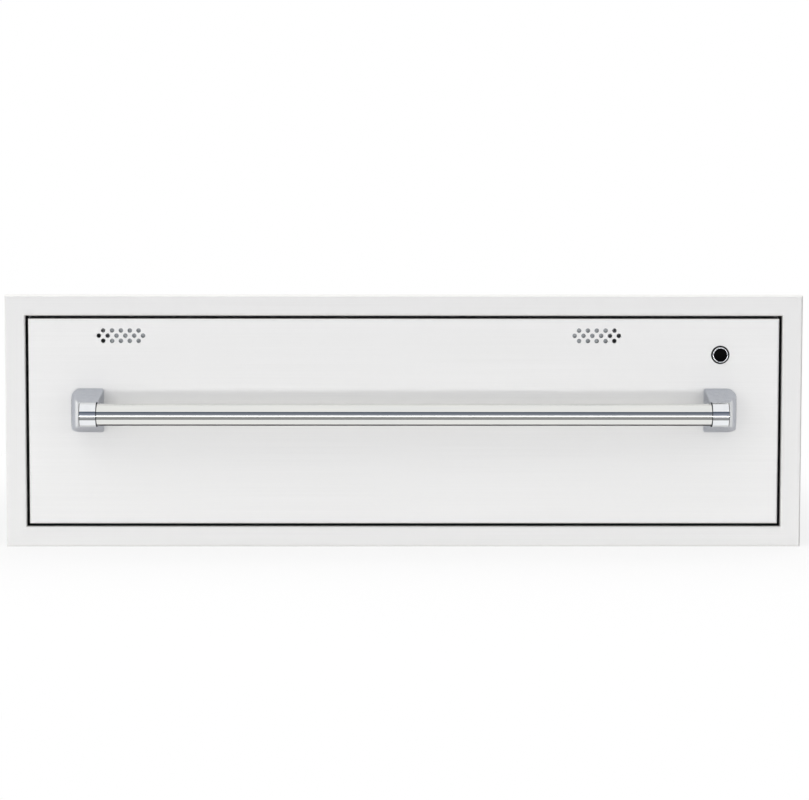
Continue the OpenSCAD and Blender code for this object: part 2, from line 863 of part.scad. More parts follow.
module cabinet_rail() {
    color("lightsteelblue")
    difference() {
        run_right(slide_y, slide_len) cabinet_rail_section();
        for (y = rail_screw_y) on_right_wall(y) {
            translate([0, 0, -1]) cylinder(d = rail_screw_d + 2*fit, h = rail_t + 2);
            cylinder(d1 = rail_screw_d + 2*fit, d2 = rail_head_d + 2*fit, h = rail_t);
        }
        for (y = [-0.25, 0.25]) on_right_wall(cage_mid_y + y*slide_len)
            translate([0, 0, -1]) linear_extrude(rail_t + 2) rotate(90) slot(24, 7);
    }
}

module middle_rail() {
    color("lightsteelblue")
    difference() {
        run_right(slide_y, slide_len) middle_rail_section();
        for (y = rail_screw_y) on_right_wall(y) cylinder(d = 11, h = slide_w/2);
        for (y = [-0.25, 0.25]) on_right_wall(cage_mid_y + y*slide_len)
            linear_extrude(slide_w/2) rotate(90) slot(30, 9);
    }
}

module drawer_rail() {
    color("lightsteelblue")
    difference() {
        run_right(slide_y, slide_len) drawer_rail_section();
        for (y = rail_screw_y) on_right_wall(y) {
            cylinder(d = rail_screw_d + 2*fit, h = slide_w + 1);
            translate([0, 0, slide_w - rail_t])
                cylinder(d1 = rail_head_d + 2*fit, d2 = rail_screw_d + 2*fit, h = rail_t);
        }
        for (y = [-0.25, 0.25]) on_right_wall(cage_mid_y + y*slide_len)
            linear_extrude(slide_w + 1) rotate(90) slot(20, 6);
    }
}

// Places a child at every ball of the two rows at height v
module at_balls(v) {
    first_y = cage_mid_y - (balls_in_row - 1)/2*ball_pitch;
    for (s = [-1, 1], i = [0 : balls_in_row - 1])
        translate([cavity_w/2 - ball_u, first_y + i*ball_pitch, slide_z + s*v]) children();
}

module cage(u, v, d) {
    pocket = d + 0.3;
    color("darkgray")
    difference() {
        run_right(cage_mid_y - cage_len/2, cage_len) cage_section(u, v);
        at_balls(v) cylinder(d = pocket, h = 2*cage_t, center = true);
    }
}

module balls(v, d) {
    color("white") at_balls(v) sphere(d = d);
}

module outer_cage() {
    cage(rail_t + cage_gap, ball_v, ball_d);
}

module inner_cage() {
    cage(middle_u + rail_t + cage_gap, small_ball_v, small_ball_d);
}

// The two slides
module left_cabinet_rail() {
    mirror([1, 0, 0]) cabinet_rail();
}

module right_cabinet_rail() {
    cabinet_rail();
}

module left_middle_rail() {
    mirror([1, 0, 0]) middle_rail();
}

module right_middle_rail() {
    middle_rail();
}

module left_drawer_rail() {
    mirror([1, 0, 0]) drawer_rail();
}

module right_drawer_rail() {
    drawer_rail();
}

module left_outer_cage() {
    mirror([1, 0, 0]) outer_cage();
}

module right_outer_cage() {
    outer_cage();
}

module left_inner_cage() {
    mirror([1, 0, 0]) inner_cage();
}

module right_inner_cage() {
    inner_cage();
}

module left_outer_balls() {
    mirror([1, 0, 0]) balls(ball_v, ball_d);
}

module right_outer_balls() {
    balls(ball_v, ball_d);
}

module left_inner_balls() {
    mirror([1, 0, 0]) balls(small_ball_v, small_ball_d);
}

module right_inner_balls() {
    balls(small_ball_v, small_ball_d);
}

// Flush screws through the cabinet rails into the liner
module cabinet_rail_screws() {
    color("slategray")
    for (s = [0, 1]) mirror([s, 0, 0]) for (y = rail_screw_y) on_right_wall(y) {
        translate([0, 0, -10]) cylinder(d = rail_screw_d, h = 10 + rail_t/2);
        cylinder(d1 = rail_screw_d, d2 = rail_head_d, h = rail_t);
    }
}

// Flush rivets through the drawer rails, with round heads inside the bin
module drawer_rail_rivets() {
    head_d = 8;
    head_t = 1.8;
    ball_r = (pow(head_d, 2)/4 + pow(head_t, 2))/(2*head_t);
    color("slategray")
    for (s = [0, 1]) mirror([s, 0, 0]) for (y = rail_screw_y) on_right_wall(y) {
        translate([0, 0, slide_w - rail_t]) cylinder(d2 = rail_screw_d, d1 = rail_head_d, h = rail_t);
        translate([0, 0, slide_w - rail_t/2]) cylinder(d = rail_screw_d, h = bin_sheet + rail_t/2);
        translate([0, 0, slide_w + bin_sheet]) intersection() {
            cylinder(d = head_d, h = head_t);
            translate([0, 0, head_t - ball_r]) sphere(r = ball_r);
        }
    }
}

module cover_screws() {
    color("slategray") at_cover_screws() pan_screw(screw_d, screw_reach, screw_head_d, screw_head_t);
}

module rear_panel_screws() {
    color("slategray") at_rear_screws() pan_screw(screw_d - fit, screw_reach, screw_head_d, screw_head_t);
}

// Drawer front
// Places a child at every vent hole: short rows above and below a row of one more
module at_vents() {
    for (x = [vent_left_x, vent_right_x], row = [-1, 0, 1]) {
        count = vent_columns + 1 - abs(row);
        z = front_top - vent_drop + row*vent_row_pitch;
        for (i = [0 : count - 1]) translate([x + (i - (count - 1)/2)*vent_pitch, 0, z]) children();
    }
}

// Places a child at both posts' axes, on the drawer's face
module at_posts() {
    for (s = [-1, 1]) translate([s*handle_span/2, 0, handle_z]) children();
}

// Places a child at every screw that holds the bin to the drawer front
module at_bin_screws() {
    for (x = bin_screw_x, z = bin_screw_z) translate([x, 0, z]) children();
}

// Outer skin of the drawer front, folded back all round
module front_skin() {
    color("gainsboro")
    difference() {
        translate([0, front_y, mid_z]) facing_front() folded_tray(front_w, front_h, front_depth, sheet, bend);
        at_vents() along_y(vent_d, front_y - 1, skin_in_y + 1);
        translate([button_x, 0, button_z]) along_y(barrel_d + 2*fit, front_y - 1, skin_in_y + 1);
        at_posts() {
            along_y(handle_screw_d + 2*fit, front_y - 1, skin_in_y + 1);
            for (s = [-1, 1]) translate([0, 0, s*foot_screw_spread])
                along_y(foot_screw_d + 2*fit, front_y - 1, skin_in_y + 1);
        }
    }
}

// Backing tray that closes the drawer front, with slots that lead moist air to the vents
module front_backing() {
    slot_z = (bin_top + cavity_z1)/2;
    first_x = (vent_left_x + vent_right_x)/2 - (air_slots - 1)/2*air_slot_pitch;
    color("lightgray")
    difference() {
        translate([0, front_back, mid_z])
            facing_back() folded_tray(backing_w, backing_h, backing_flange, sheet, bend);
        at_bin_screws() along_y(bin_screw_d + 2*fit, backing_in_y - 1, front_back + 1);
        for (i = [0 : air_slots - 1])
            translate([first_x + i*air_slot_pitch, front_back + 1, slot_z])
                rotate([90, 0, 0]) linear_extrude(sheet + 2) slot(air_slot_l, air_slot_d);
    }
}

// Insulation board in the drawer front, below the vents and beside the control box
module front_insulation() {
    margin = 3;
    x0 = -backing_w/2 + sheet + margin;
    x1 = button_x - box_w/2 - margin;
    z0 = mid_z - backing_h/2 + sheet + bend;
    z1 = front_top - vent_drop - vent_row_pitch - vent_space;
    color("khaki")
    difference() {
        translate([x0, skin_in_y + 8, z0]) cube([x1 - x0, backing_in_y - skin_in_y - 8, z1 - z0]);
        at_bin_screws() along_y(bin_screw_d + 3, skin_in_y, front_back);
        at_posts() along_y(post_h, skin_in_y, skin_in_y + 8 + 5);
    }
}

// Baffle behind the vents: it hangs from the skin's top and leaves the outer ends open
module vent_baffle() {
    x0 = vent_left_x - baffle_reach;
    x1 = vent_right_x + baffle_reach;
    y = skin_in_y + baffle_gap;
    drop = vent_drop + vent_row_pitch + vent_d;
    color("lightgray")
    translate([x0, y, front_top - sheet]) {
        translate([0, 0, -drop + sheet]) cube([x1 - x0, baffle_t, drop - sheet]);
        translate([0, 0, -baffle_t]) cube([x1 - x0, baffle_flange, baffle_t]);
    }
}

// Handle
// A post from the side: a flared foot that ends in a round nose about the bar
module post_side_view() {
    neck = nose_d/2 - 1;
    translate([handle_reach, 0]) circle(d = nose_d);
    polygon([[0, -post_h/2], [handle_reach, -neck], [handle_reach, neck], [0, post_h/2]]);
}

// A post from above: nearly straight on the inside, bowed on the outside as far as the bar's
// axis, and cut straight across from there to the nose's front
module post_top_view() {
    lean = nose_out + post_w/2;
    bow = (pow(handle_reach, 2) + pow(lean, 2))/(2*lean);
    intersection() {
        polygon([[-post_w/2, 0], [post_w/2, 0], [nose_in, post_reach], [-post_w/2, post_reach]]);
        union() {
            translate([bow - post_w/2, 0]) circle(bow, $fn = 360);
            translate([nose_out, handle_reach]) square([post_w, nose_d]);
        }
    }
}

// A post's foot from the front: its outer side is bowed and runs smoothly into large corners
module post_foot_view() {
    small = 2.5;
    bow = (pow(post_h/2, 2) + pow(post_bow, 2))/(2*post_bow);
    rise = post_h/2 - post_corner;
    // How far a corner stands proud of the bow, so that the two arcs cross
    proud = 0.05;
    corner_x = bow - post_w/2 - sqrt(pow(bow - post_corner, 2) - pow(rise, 2)) - proud;
    touch = rise*bow/(bow - post_corner);
    intersection() {
        translate([bow - post_w/2, 0]) circle(bow, $fn = 360);
        translate([-post_w/2, -touch]) square([post_w/2, 2*touch]);
    }
    translate([corner_x, -post_h/2]) square([-corner_x, post_h]);
    translate([0, -post_h/2]) square([post_w/2 - small, post_h]);
    translate([0, small - post_h/2]) square([post_w/2, post_h - 2*small]);
    for (s = [-1, 1]) {
        translate([corner_x, s*rise]) circle(post_corner);
        translate([post_w/2 - small, s*(post_h/2 - small)]) circle(small);
    }
}

// The left post, about its foot's middle on the drawer's face: the bar leaves it towards +X
module handle_post() {
    difference() {
        intersection() {
            rotate([90, 0, 0]) linear_extrude(post_reach) post_foot_view();
            rotate([180, 0, 0]) linear_extrude(post_h, center = true) post_top_view();
            rotate([0, 90, 0]) rotate([0, 0, -90]) linear_extrude(post_w, center = true) post_side_view();
        }
        translate([nose_in - socket_depth, -handle_reach, 0]) along_x(bar_d + fit, 0, post_w);
        along_y(handle_screw_d + 2*fit, -handle_reach, 1);
        for (s = [-1, 1]) translate([0, 0, s*foot_screw_spread])
            along_y(foot_screw_d + fit, -foot_screw_depth - 1, 1);
    }
}

module left_handle_post() {
    color("silver")
    translate([-handle_span/2, front_y, handle_z]) handle_post();
}

module right_handle_post() {
    color("silver")
    translate([handle_span/2, front_y, handle_z]) mirror([1, 0, 0]) handle_post();
}

module handle_bar() {
    color("silver")
    translate([0, bar_y, handle_z])
    difference() {
        along_x(bar_d, -bar_len/2, bar_len/2);
        along_x(bar_d - 2*bar_wall, -bar_len/2 - 1, bar_len/2 + 1);
        for (s = [-1, 1]) translate([s*handle_span/2, 0, 0]) along_y(handle_screw_d + fit, bar_d/4, bar_d);
    }
}

// Screws from inside the front: one long one into the bar, two short ones into the foot
module handle_screws() {
    long = sheet + handle_reach - bar_d/2 + 2*bar_wall;
    color("slategray")
    at_posts() {
        translate([0, skin_in_y, 0]) facing_front() pan_screw(handle_screw_d, long, handle_screw_d + 4, 4);
        for (s = [-1, 1]) translate([0, skin_in_y, s*foot_screw_spread])
            facing_front() pan_screw(foot_screw_d, sheet + foot_screw_depth, foot_screw_d + 4, 3);
    }
}

// Push button
// Bezel and barrel of the switch, turned in one piece, with a pocket for the cap
module button_bezel() {
    round = 0.8;
    back = bezel_t + barrel_len;
    color("whitesmoke")
    translate([button_x, bezel_y - bezel_t, button_z]) rotate([-90, 0, 0])
    difference() {
        union() {
            translate([0, 0, round]) cylinder(d = bezel_d, h = bezel_t - round);
            cylinder(d = bezel_d - 2*round, h = bezel_t);
            rotate_extrude() translate([bezel_d/2 - round, round]) circle(round);
            cylinder(d = barrel_d, h = back);
        }
        translate([0, 0, -1]) cylinder(d = cap_d + 2*cap_gap, h = cap_bore + 1);
    }
}

module button_washer() {
    color("black")
    translate([button_x, 0, button_z])
    difference() {
        along_y(washer_d, front_y - washer_t, front_y);
        along_y(barrel_d + 2*fit, front_y - washer_t - 1, front_y + 1);
    }
}

module button_nut() {
    nut_t = 3;
    across = barrel_d + 6;
    color("darkgray")
    translate([button_x, skin_in_y, button_z])
    difference() {
        rotate([-90, 0, 0]) cylinder(d = across, h = nut_t, $fn = 6);
        along_y(barrel_d + 2*fit, -1, nut_t + 1);
    }
}

// The cap that is pressed, with a shallow dish in its face
module push_button() {
    dish = 0.6;
    dish_r = (pow(cap_d/2 - 1, 2) + pow(dish, 2))/(2*dish);
    color("black")
    translate([button_x, bezel_y - bezel_t - cap_proud, button_z]) rotate([-90, 0, 0])
    difference() {
        cylinder(d = cap_d, h = cap_proud + cap_len);
        translate([0, 0, dish - dish_r]) sphere(r = dish_r);
    }
}

// Box in the drawer front that shields the switch and its board
module control_box() {
    color("lightgray")
    difference() {
        translate([button_x, backing_in_y, box_z])
            facing_back() folded_tray(box_w, box_h, box_depth, box_sheet, bend);
        translate([button_x - box_w/2, backing_in_y - 12, box_z]) along_x(10, -3*box_sheet, 3*box_sheet);
    }
}

// Control board on four posts in the box, clear of the switch
module control_board() {
    board_w = 76;
    board_h = 20;
    board_t = 1.6;
    post_l = 4;
    z = box_z - box_h/2 + box_sheet + bend + board_h/2 + 1;
    y = backing_in_y - box_sheet - post_l;
    color("seagreen")
    translate([button_x, y, z]) {
        translate([-board_w/2, -board_t, -board_h/2]) cube([board_w, board_t, board_h]);
        for (x = [-1, 1], v = [-1, 1])
            translate([x*(board_w/2 - 4), 0, v*(board_h/2 - 4)]) along_y(5, 0, post_l);
        translate([-26, -board_t - 9, -7]) cube([18, 9, 14]);
        for (x = [2, 14, 26]) translate([x, 0, 0]) along_y(7, -board_t - 7, -board_t);
    }
}

// Bin: a folded tray with a rim, screwed to the back of the drawer front
module drawer_bin() {
    color("silver")
    difference() {
        union() {
            translate([0, front_back + bin_l/2, bin_z]) folded_tray(bin_w, bin_l, bin_h, bin_sheet, bin_bend);
            translate([0, front_back + bin_l/2, bin_top - bin_sheet]) linear_extrude(bin_sheet)
                difference() {
                    translate([-bin_w/2 - bin_rim, -bin_l/2]) square([bin_w + 2*bin_rim, bin_l + bin_rim]);
                    square([bin_w - 2*bin_sheet, bin_l - 2*bin_sheet], center = true);
                }
        }
        at_bin_screws() along_y(bin_screw_d + 2*fit, front_back - 1, front_back + bin_sheet + 1);
        for (s = [-1, 1], y = rail_screw_y) translate([s*bin_w/2, y, slide_z])
            along_x(rail_screw_d + 2*fit, -2*bin_sheet, 2*bin_sheet);
    }
}

module bin_screws() {
    color("slategray")
    at_bin_screws() translate([0, front_back + bin_sheet, 0])
        facing_front() pan_screw(bin_screw_d, bin_screw_len, screw_head_d, screw_head_t);
}

face_frame();
housing_shell();
top_cover();
rear_panel();
cavity_liner();
left_insulation();
right_insulation();
top_insulation();
floor_insulation();
rear_insulation();
drawer_seal();
heat_reflector();
heating_element();
element_supports();
element_bushings();
element_terminals();
temperature_probe();
thermal_cutout();
terminal_block();
cable_gland();
gland_locknut();
left_cabinet_rail();
right_cabinet_rail();
cabinet_rail_screws();
cover_screws();
rear_panel_screws();
left_middle_rail();
right_middle_rail();
left_outer_cage();
left_outer_balls();
left_inner_cage();
left_inner_balls();
right_outer_cage();
right_outer_balls();
right_inner_cage();
right_inner_balls();
front_skin();
front_backing();
front_insulation();
vent_baffle();
left_handle_post();
right_handle_post();
handle_bar();
handle_screws();
button_bezel();
button_washer();
button_nut();
control_box();
control_board();
drawer_bin();
left_drawer_rail();
right_drawer_rail();
drawer_rail_rivets();
bin_screws();
push_button();
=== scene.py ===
"""Looks of a built-in warming drawer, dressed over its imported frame.

The sheet metal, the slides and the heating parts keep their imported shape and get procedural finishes. The handle,
the push button, the drawer seal, the screw heads that show and the cable gland are modelled here with the rounds,
recesses and ribs of the finished product, and stand for the plain solids of the frame.
"""

import logging
import math
from contextlib import contextmanager
from dataclasses import dataclass
from enum import Enum
from typing import Callable, Iterator

import bmesh
import bpy
from mathutils import Matrix, Vector


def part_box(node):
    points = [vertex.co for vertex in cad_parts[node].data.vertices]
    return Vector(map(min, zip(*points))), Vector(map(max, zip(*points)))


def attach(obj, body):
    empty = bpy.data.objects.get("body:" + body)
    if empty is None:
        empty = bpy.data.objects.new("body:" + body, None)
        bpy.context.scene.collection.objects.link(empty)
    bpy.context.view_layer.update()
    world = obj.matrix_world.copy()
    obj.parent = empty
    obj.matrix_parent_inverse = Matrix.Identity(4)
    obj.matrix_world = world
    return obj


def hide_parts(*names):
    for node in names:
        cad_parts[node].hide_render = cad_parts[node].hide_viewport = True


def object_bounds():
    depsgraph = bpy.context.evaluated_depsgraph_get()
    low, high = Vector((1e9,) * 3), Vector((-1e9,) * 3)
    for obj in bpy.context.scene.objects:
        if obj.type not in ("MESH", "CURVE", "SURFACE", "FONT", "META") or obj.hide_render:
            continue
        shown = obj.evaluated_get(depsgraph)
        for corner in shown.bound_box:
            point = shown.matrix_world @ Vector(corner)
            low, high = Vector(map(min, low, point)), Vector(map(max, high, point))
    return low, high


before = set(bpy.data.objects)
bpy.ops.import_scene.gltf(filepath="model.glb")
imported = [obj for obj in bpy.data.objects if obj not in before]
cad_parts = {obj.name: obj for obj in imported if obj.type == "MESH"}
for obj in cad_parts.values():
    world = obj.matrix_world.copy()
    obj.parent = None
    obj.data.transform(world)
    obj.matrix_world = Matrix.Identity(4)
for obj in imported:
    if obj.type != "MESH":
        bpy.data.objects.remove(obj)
CAD_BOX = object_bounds()

MM = 0.001
PHOTO_WIDTH = 809
SENSOR_WIDTH = 36.0
WHITE = "#FFFFFF"
# The part of Blender's noise that is used, and the phase that its wave runs through in one unit
NOISE_SPAN = (0.3, 0.7)
WAVE_PHASE = 20
# Points nearer than the first merge, and the second rounds them when the solids of a node are told apart
MERGE = 1e-6
SAME_PLACE = 0.01 * MM
# How near an edge has to be to a face's outline, and how far a direction has to follow an axis
NEAR = MM / 10
ALONG = 0.9
CORNER_STEPS = 10

log = logging.getLogger("warming_drawer")

Colour = tuple[float, float, float, float]
Triple = tuple[float, float, float]
Box = tuple[Vector, Vector]
Tree = bpy.types.NodeTree
Socket = bpy.types.NodeSocket
Piece = bpy.types.Object
Test = Callable[[Vector, Vector], bool]


class Part(Enum):
    """What a selection in edit mode picks."""

    POINT = "VERT"
    EDGE = "EDGE"
    FACE = "FACE"


class Shaping(Enum):
    """How one solid acts on another."""

    UNITE = "UNION"
    COMMON = "INTERSECT"
    CUT = "DIFFERENCE"


class Axis(Enum):
    """An axis of the frame, as the turn that lays a shape made along Z on it."""

    X = (0.0, math.pi / 2, 0.0)
    Y = (-math.pi / 2, 0.0, 0.0)
    Z = (0.0, 0.0, 0.0)


def linear(code: str) -> Colour:
    """Turn an sRGB hex colour into linear red, green and blue and an alpha of 1."""
    shares = [int(code[i:i + 2], 16) / 255 for i in (1, 3, 5)]
    return (*(s / 12.92 if s <= 0.04045 else ((s + 0.055) / 1.055) ** 2.4 for s in shares), 1.0)


def add_node(tree: Tree, kind: str, inputs: dict | None = None, **settings: object) -> bpy.types.Node:
    """Add a node with its settings, values and links.

    Args:
        tree: Node tree that gets the node.
        kind: Blender's name of the node's class, after ShaderNode.
        inputs: Values or output sockets by input name or number.
        **settings: Properties of the node.

    Returns:
        The new node.
    """
    node = tree.nodes.new("ShaderNode" + kind)
    for name, value in settings.items():
        setattr(node, name, value)
    for name, value in (inputs or {}).items():
        if isinstance(value, Socket):
            tree.links.new(value, node.inputs[name])
        else:
            node.inputs[name].default_value = value
    return node


def reckon(tree: Tree, operation: str, *values: Socket | float) -> Socket:
    """Add a node that works out one number."""
    return add_node(tree, "Math", dict(enumerate(values)), operation=operation).outputs[0]


def blend(tree: Tree, share: Socket, first: Socket | Colour, second: Socket | Colour) -> Socket:
    """Add a node that mixes two colours."""
    return add_node(tree, "Mix", {0: share, 6: first, 7: second}, data_type="RGBA").outputs[2]


def blank(owner: bpy.types.Material | bpy.types.World) -> Tree:
    """Give a new material or world an empty node tree.

    Args:
        owner: The material or world.

    Returns:
        Its node tree.
    """
    owner.use_nodes = True
    owner.node_tree.nodes.clear()
    return owner.node_tree


@dataclass(frozen=True)
class Finish:
    """A surface with a grain: two tones, a range of gloss and a relief that all follow one noise pattern."""

    name: str
    tone: str
    second_tone: str
    roughness: tuple[float, float]
    grain_mm: Triple
    relief_mm: float
    metallic: float = 0.0
    specular: float = 0.5
    detail: float = 3.0
    edge_tint: str = WHITE

    def pattern(self, tree: Tree, place: Socket) -> Socket:
        """Draw the grain, about 0 to 1, from object coordinates."""
        return self.noise(tree, place, self.grain_mm)

    def sized(self, tree: Tree, place: Socket, grain_mm: Triple) -> Socket:
        """Scale coordinates so that one blotch of the grain is one unit long."""
        return add_node(tree, "Mapping", {
            "Vector": place, "Scale": tuple(1 / (size * MM) for size in grain_mm)}).outputs["Vector"]

    def noise(self, tree: Tree, place: Socket, grain_mm: Triple) -> Socket:
        """Draw noise with blotches of a given size.

        Args:
            tree: Node tree of the material.
            place: Object coordinates.
            grain_mm: Size of a blotch along X, Y and Z.

        Returns:
            Noise, about 0 to 1.
        """
        noise = add_node(tree, "TexNoise", {
            "Vector": self.sized(tree, place, grain_mm), "Scale": 1.0, "Detail": self.detail})
        least, most = NOISE_SPAN
        spread = add_node(tree, "MapRange", {
            "Value": noise.outputs["Fac"], "From Min": least, "From Max": most})
        return spread.outputs["Result"]

    def colour(self, tree: Tree, place: Socket, pattern: Socket) -> Socket:
        """Mix the two tones along the grain."""
        return blend(tree, pattern, linear(self.tone), linear(self.second_tone))

    def material(self) -> bpy.types.Material:
        """Make the finish's material, or find it where it is made already.

        Returns:
            The material.
        """
        found = bpy.data.materials.get(self.name)
        if found:
            return found
        material = bpy.data.materials.new(self.name)
        tree = blank(material)
        place = add_node(tree, "TexCoord").outputs["Object"]
        pattern = self.pattern(tree, place)
        gloss = add_node(tree, "MapRange", {
            "Value": pattern, "To Min": self.roughness[0], "To Max": self.roughness[1]})
        relief = add_node(tree, "Bump", {
            "Height": pattern, "Strength": 1.0, "Distance": self.relief_mm * MM})
        shader = add_node(tree, "BsdfPrincipled", {
            "Base Color": self.colour(tree, place, pattern), "Roughness": gloss.outputs["Result"],
            "Metallic": self.metallic, "Specular IOR Level": self.specular,
            "Specular Tint": linear(self.edge_tint), "Normal": relief.outputs["Normal"]})
        add_node(tree, "OutputMaterial", {"Surface": shader.outputs["BSDF"]})
        return material


@dataclass(frozen=True)
class MitredSteel(Finish):
    """Brushed steel on a mitred frame: the grain turns at the mitres, and the depth of its return gets a painted dark
    shade.
    """

    middle: tuple[float, float] = (0.0, 0.0)
    half_size: tuple[float, float] = (0.0, 0.0)
    border: float = 0.0
    brushed_to: float = 0.0
    # Painted shade for the depth of the frame's returns round the drawer
    dull_tone: str = "#2A2B2D"

    def reach(self, tree: Tree, place: Socket) -> list[Socket]:
        """Measure how far a point lies outside the frame's outline.

        Args:
            tree: Node tree of the material.
            place: Object coordinates.

        Returns:
            The distance along X and along Z, below 0 inside the outline.
        """
        parts = add_node(tree, "SeparateXYZ", {"Vector": place})
        found = []
        for name, middle, half in zip("XZ", self.middle, self.half_size):
            offset = reckon(tree, "SUBTRACT", parts.outputs[name], middle)
            found.append(reckon(tree, "SUBTRACT", reckon(tree, "ABSOLUTE", offset), half))
        return found

    def pattern(self, tree: Tree, place: Socket) -> Socket:
        """Draw the grain along X on the level rails and along Z on the upright ones.

        Args:
            tree: Node tree of the material.
            place: Object coordinates.

        Returns:
            The pattern, about 0 to 1.
        """
        level = self.noise(tree, place, self.grain_mm)
        upright = self.noise(tree, place, self.grain_mm[::-1])
        side = reckon(tree, "GREATER_THAN", *self.reach(tree, place))
        return add_node(tree, "Mix", {0: side, 2: level, 3: upright}).outputs[0]

    def colour(self, tree: Tree, place: Socket, pattern: Socket) -> Socket:
        """Mix the two tones, and a painted dark shade deep inside the frame's border, where the gap round the drawer
        lies in shadow.

        Args:
            tree: Node tree of the material.
            place: Object coordinates.
            pattern: The grain, about 0 to 1.

        Returns:
            The colour.
        """
        bright = super().colour(tree, place, pattern)
        # Painted shade: faces inside the opening and deeper than the set depth get the dark tone, so that the gap
        # round the drawer reads black
        inside = reckon(tree, "LESS_THAN", reckon(tree, "MAXIMUM", *self.reach(tree, place)), -self.border)
        depth = add_node(tree, "SeparateXYZ", {"Vector": place}).outputs["Y"]
        deep = reckon(tree, "GREATER_THAN", depth, self.brushed_to)
        return blend(tree, reckon(tree, "MULTIPLY", inside, deep), bright, linear(self.dull_tone))


@dataclass(frozen=True)
class SpangledZinc(Finish):
    """Hot-dip zinc: crystals that each catch the light their own way."""

    def pattern(self, tree: Tree, place: Socket) -> Socket:
        """Draw one grey for each crystal."""
        cells = add_node(tree, "TexVoronoi", {"Vector": self.sized(tree, place, self.grain_mm), "Scale": 1.0})
        return add_node(tree, "SeparateColor", {"Color": cells.outputs["Color"]}).outputs["Red"]


@dataclass(frozen=True)
class WovenLaminate(Finish):
    """Glass cloth under a solder mask: a faint square weave."""

    def pattern(self, tree: Tree, place: Socket) -> Socket:
        """Draw threads across and along the board."""
        threads = [add_node(tree, "TexWave", {
            "Vector": place, "Scale": math.tau / (WAVE_PHASE * size * MM)}, bands_direction=way).outputs["Fac"]
            for way, size in zip("XZ", self.grain_mm[::2])]
        return reckon(tree, "MULTIPLY", *threads)


# Fine brushed stainless: a soft, almost white sheen. The real brush lines are about 0.1 mm wide and are drawn
# 0.6 mm wide, because finer ones don't show. Their ridges scatter about two fifths of the light.
FRONT_STEEL = Finish("stainless_steel_brushed", "#F8F7F5", "#F5F4F2", (0.42, 0.46), (260, 260, 0.6), 0.00012, 0.6)
# The same sheet drawn to a tray: the satin inside of the bin, brushed along its length
BIN_STEEL = Finish("stainless_steel_satin", "#DFE0E1", "#D3D4D6", (0.3, 0.42), (0.9, 80, 80), 0.001, 1.0)
# Cold-rolled and pickled sheet: matt silver with faint streaks along the roll
LINER_STEEL = Finish("stainless_steel_rolled", "#CFD0D0", "#C2C4C5", (0.38, 0.5), (3, 120, 3), 0.001, 1.0)
# Pressed brackets: the same sheet with tumbled edges, a little darker
BRACKET_STEEL = Finish("steel_pressed_tumbled", "#B9BBBC", "#A5A8AA", (0.36, 0.5), (1.5, 1.5, 1.5), 0.004, 1.0)
# Hot-dip galvanised sheet: grey crystals about 9 mm across
ZINC_SHEET = SpangledZinc("galvanised_steel_spangled", "#C3C6C8", "#B1B6B9", (0.36, 0.48), (9, 9, 9), 0.0, 1.0)
# Drawn and buffed tube: a mirror with faint wipe marks along its length
BAR_STEEL = Finish("stainless_tube_buffed", "#E7E7E3", "#E2E3E1", (0.03, 0.06), (90, 6, 6), 0.0, 1.0)
# The tube's underside, rougher and painted dark: painted shade, so that the bar ends in a dark line below
BAR_DRAWN = Finish("stainless_tube_drawn", "#3E3E3D", "#484847", (0.5, 0.6), (90, 3, 3), 0.001, 1.0)
# Plated casting: a mirror with the slight ripple of hand polishing
POST_CHROME = Finish("zinc_casting_chromed", "#EEF0F2", "#E8EAED", (0.04, 0.07), (14, 14, 14), 0.004, 1.0)
# The flanks and flare of the same casting, satin under the plating, with a cooler and darker grey that is painted
# shade
POST_SATIN = Finish("zinc_casting_satin_chromed", "#DFE2E7", "#D6D9DF", (0.12, 0.2), (5, 5, 5), 0.003, 1.0,
                    edge_tint="#D6D7DB")
# Grooves and sockets of the same casting: rough, with painted shade in a dark grey
POST_BARE = Finish("zinc_casting_bare", "#2C2E31", "#3A3C40", (0.6, 0.75), (0.8, 0.8, 0.8), 0.004, 0.5, 0.3)
# Turned and plated brass ring
BEZEL_CHROME = Finish("brass_turned_chromed", "#F4F5F6", "#EDEFF1", (0.05, 0.09), (1.2, 1.2, 1.2), 0.0, 1.0)
# Bright zinc plating: silver with a cool cast that drifts along the rail
ZINC_PLATE = Finish("steel_zinc_plated", "#CBD2D8", "#BFC3C0", (0.2, 0.32), (8, 45, 8), 0.0, 1.0)
# Ball cages: thin bright strip
CAGE_STEEL = Finish("steel_strip_bright", "#C4C6C8", "#B4B7B9", (0.25, 0.36), (2, 30, 2), 0.0, 1.0)
# Ground and lapped balls
BALL_STEEL = Finish("bearing_steel_lapped", "#D9DBDD", "#D2D4D6", (0.05, 0.09), (1, 1, 1), 0.0, 1.0)
# Plated screws: bright, with a fine grain from the tumbling barrel
SCREW_STEEL = Finish("steel_screw_plated", "#C3C6C8", "#AEB2B5", (0.24, 0.36), (0.8, 0.8, 0.8), 0.003, 1.0)
# Nickel-plated nut
NUT_STEEL = Finish("brass_nut_nickelled", "#D2CDC2", "#C3BEB3", (0.2, 0.3), (0.8, 0.8, 0.8), 0.002, 1.0)
# Heating tube: chrome-nickel steel that annealing turned a dull green-black
SHEATH = Finish("heater_tube_annealed", "#4E4D49", "#3B3A38", (0.42, 0.56), (9, 9, 9), 0.003, 0.9)
# Mineral wool board: short fibres, matt and uneven
WOOL = Finish("mineral_wool_board", "#B9AE85", "#94885F", (0.9, 1.0), (6, 6, 0.9), 0.5, 0.0, 0.1)
# Extruded silicone: dull black with a faint bloom
SILICONE = Finish("silicone_extruded", "#161617", "#1D1D1F", (0.55, 0.68), (1.4, 1.4, 1.4), 0.01, 0.0, 0.25)
# Moulded rubber washer
RUBBER = Finish("nitrile_rubber_moulded", "#0B0B0C", "#121213", (0.55, 0.7), (0.8, 0.8, 0.8), 0.006, 0.0, 0.25)
# Unglazed steatite: off-white with pale specks
CERAMIC = Finish("steatite_fired", "#EAE3D3", "#DDD4C0", (0.45, 0.6), (1.1, 1.1, 1.1), 0.01)
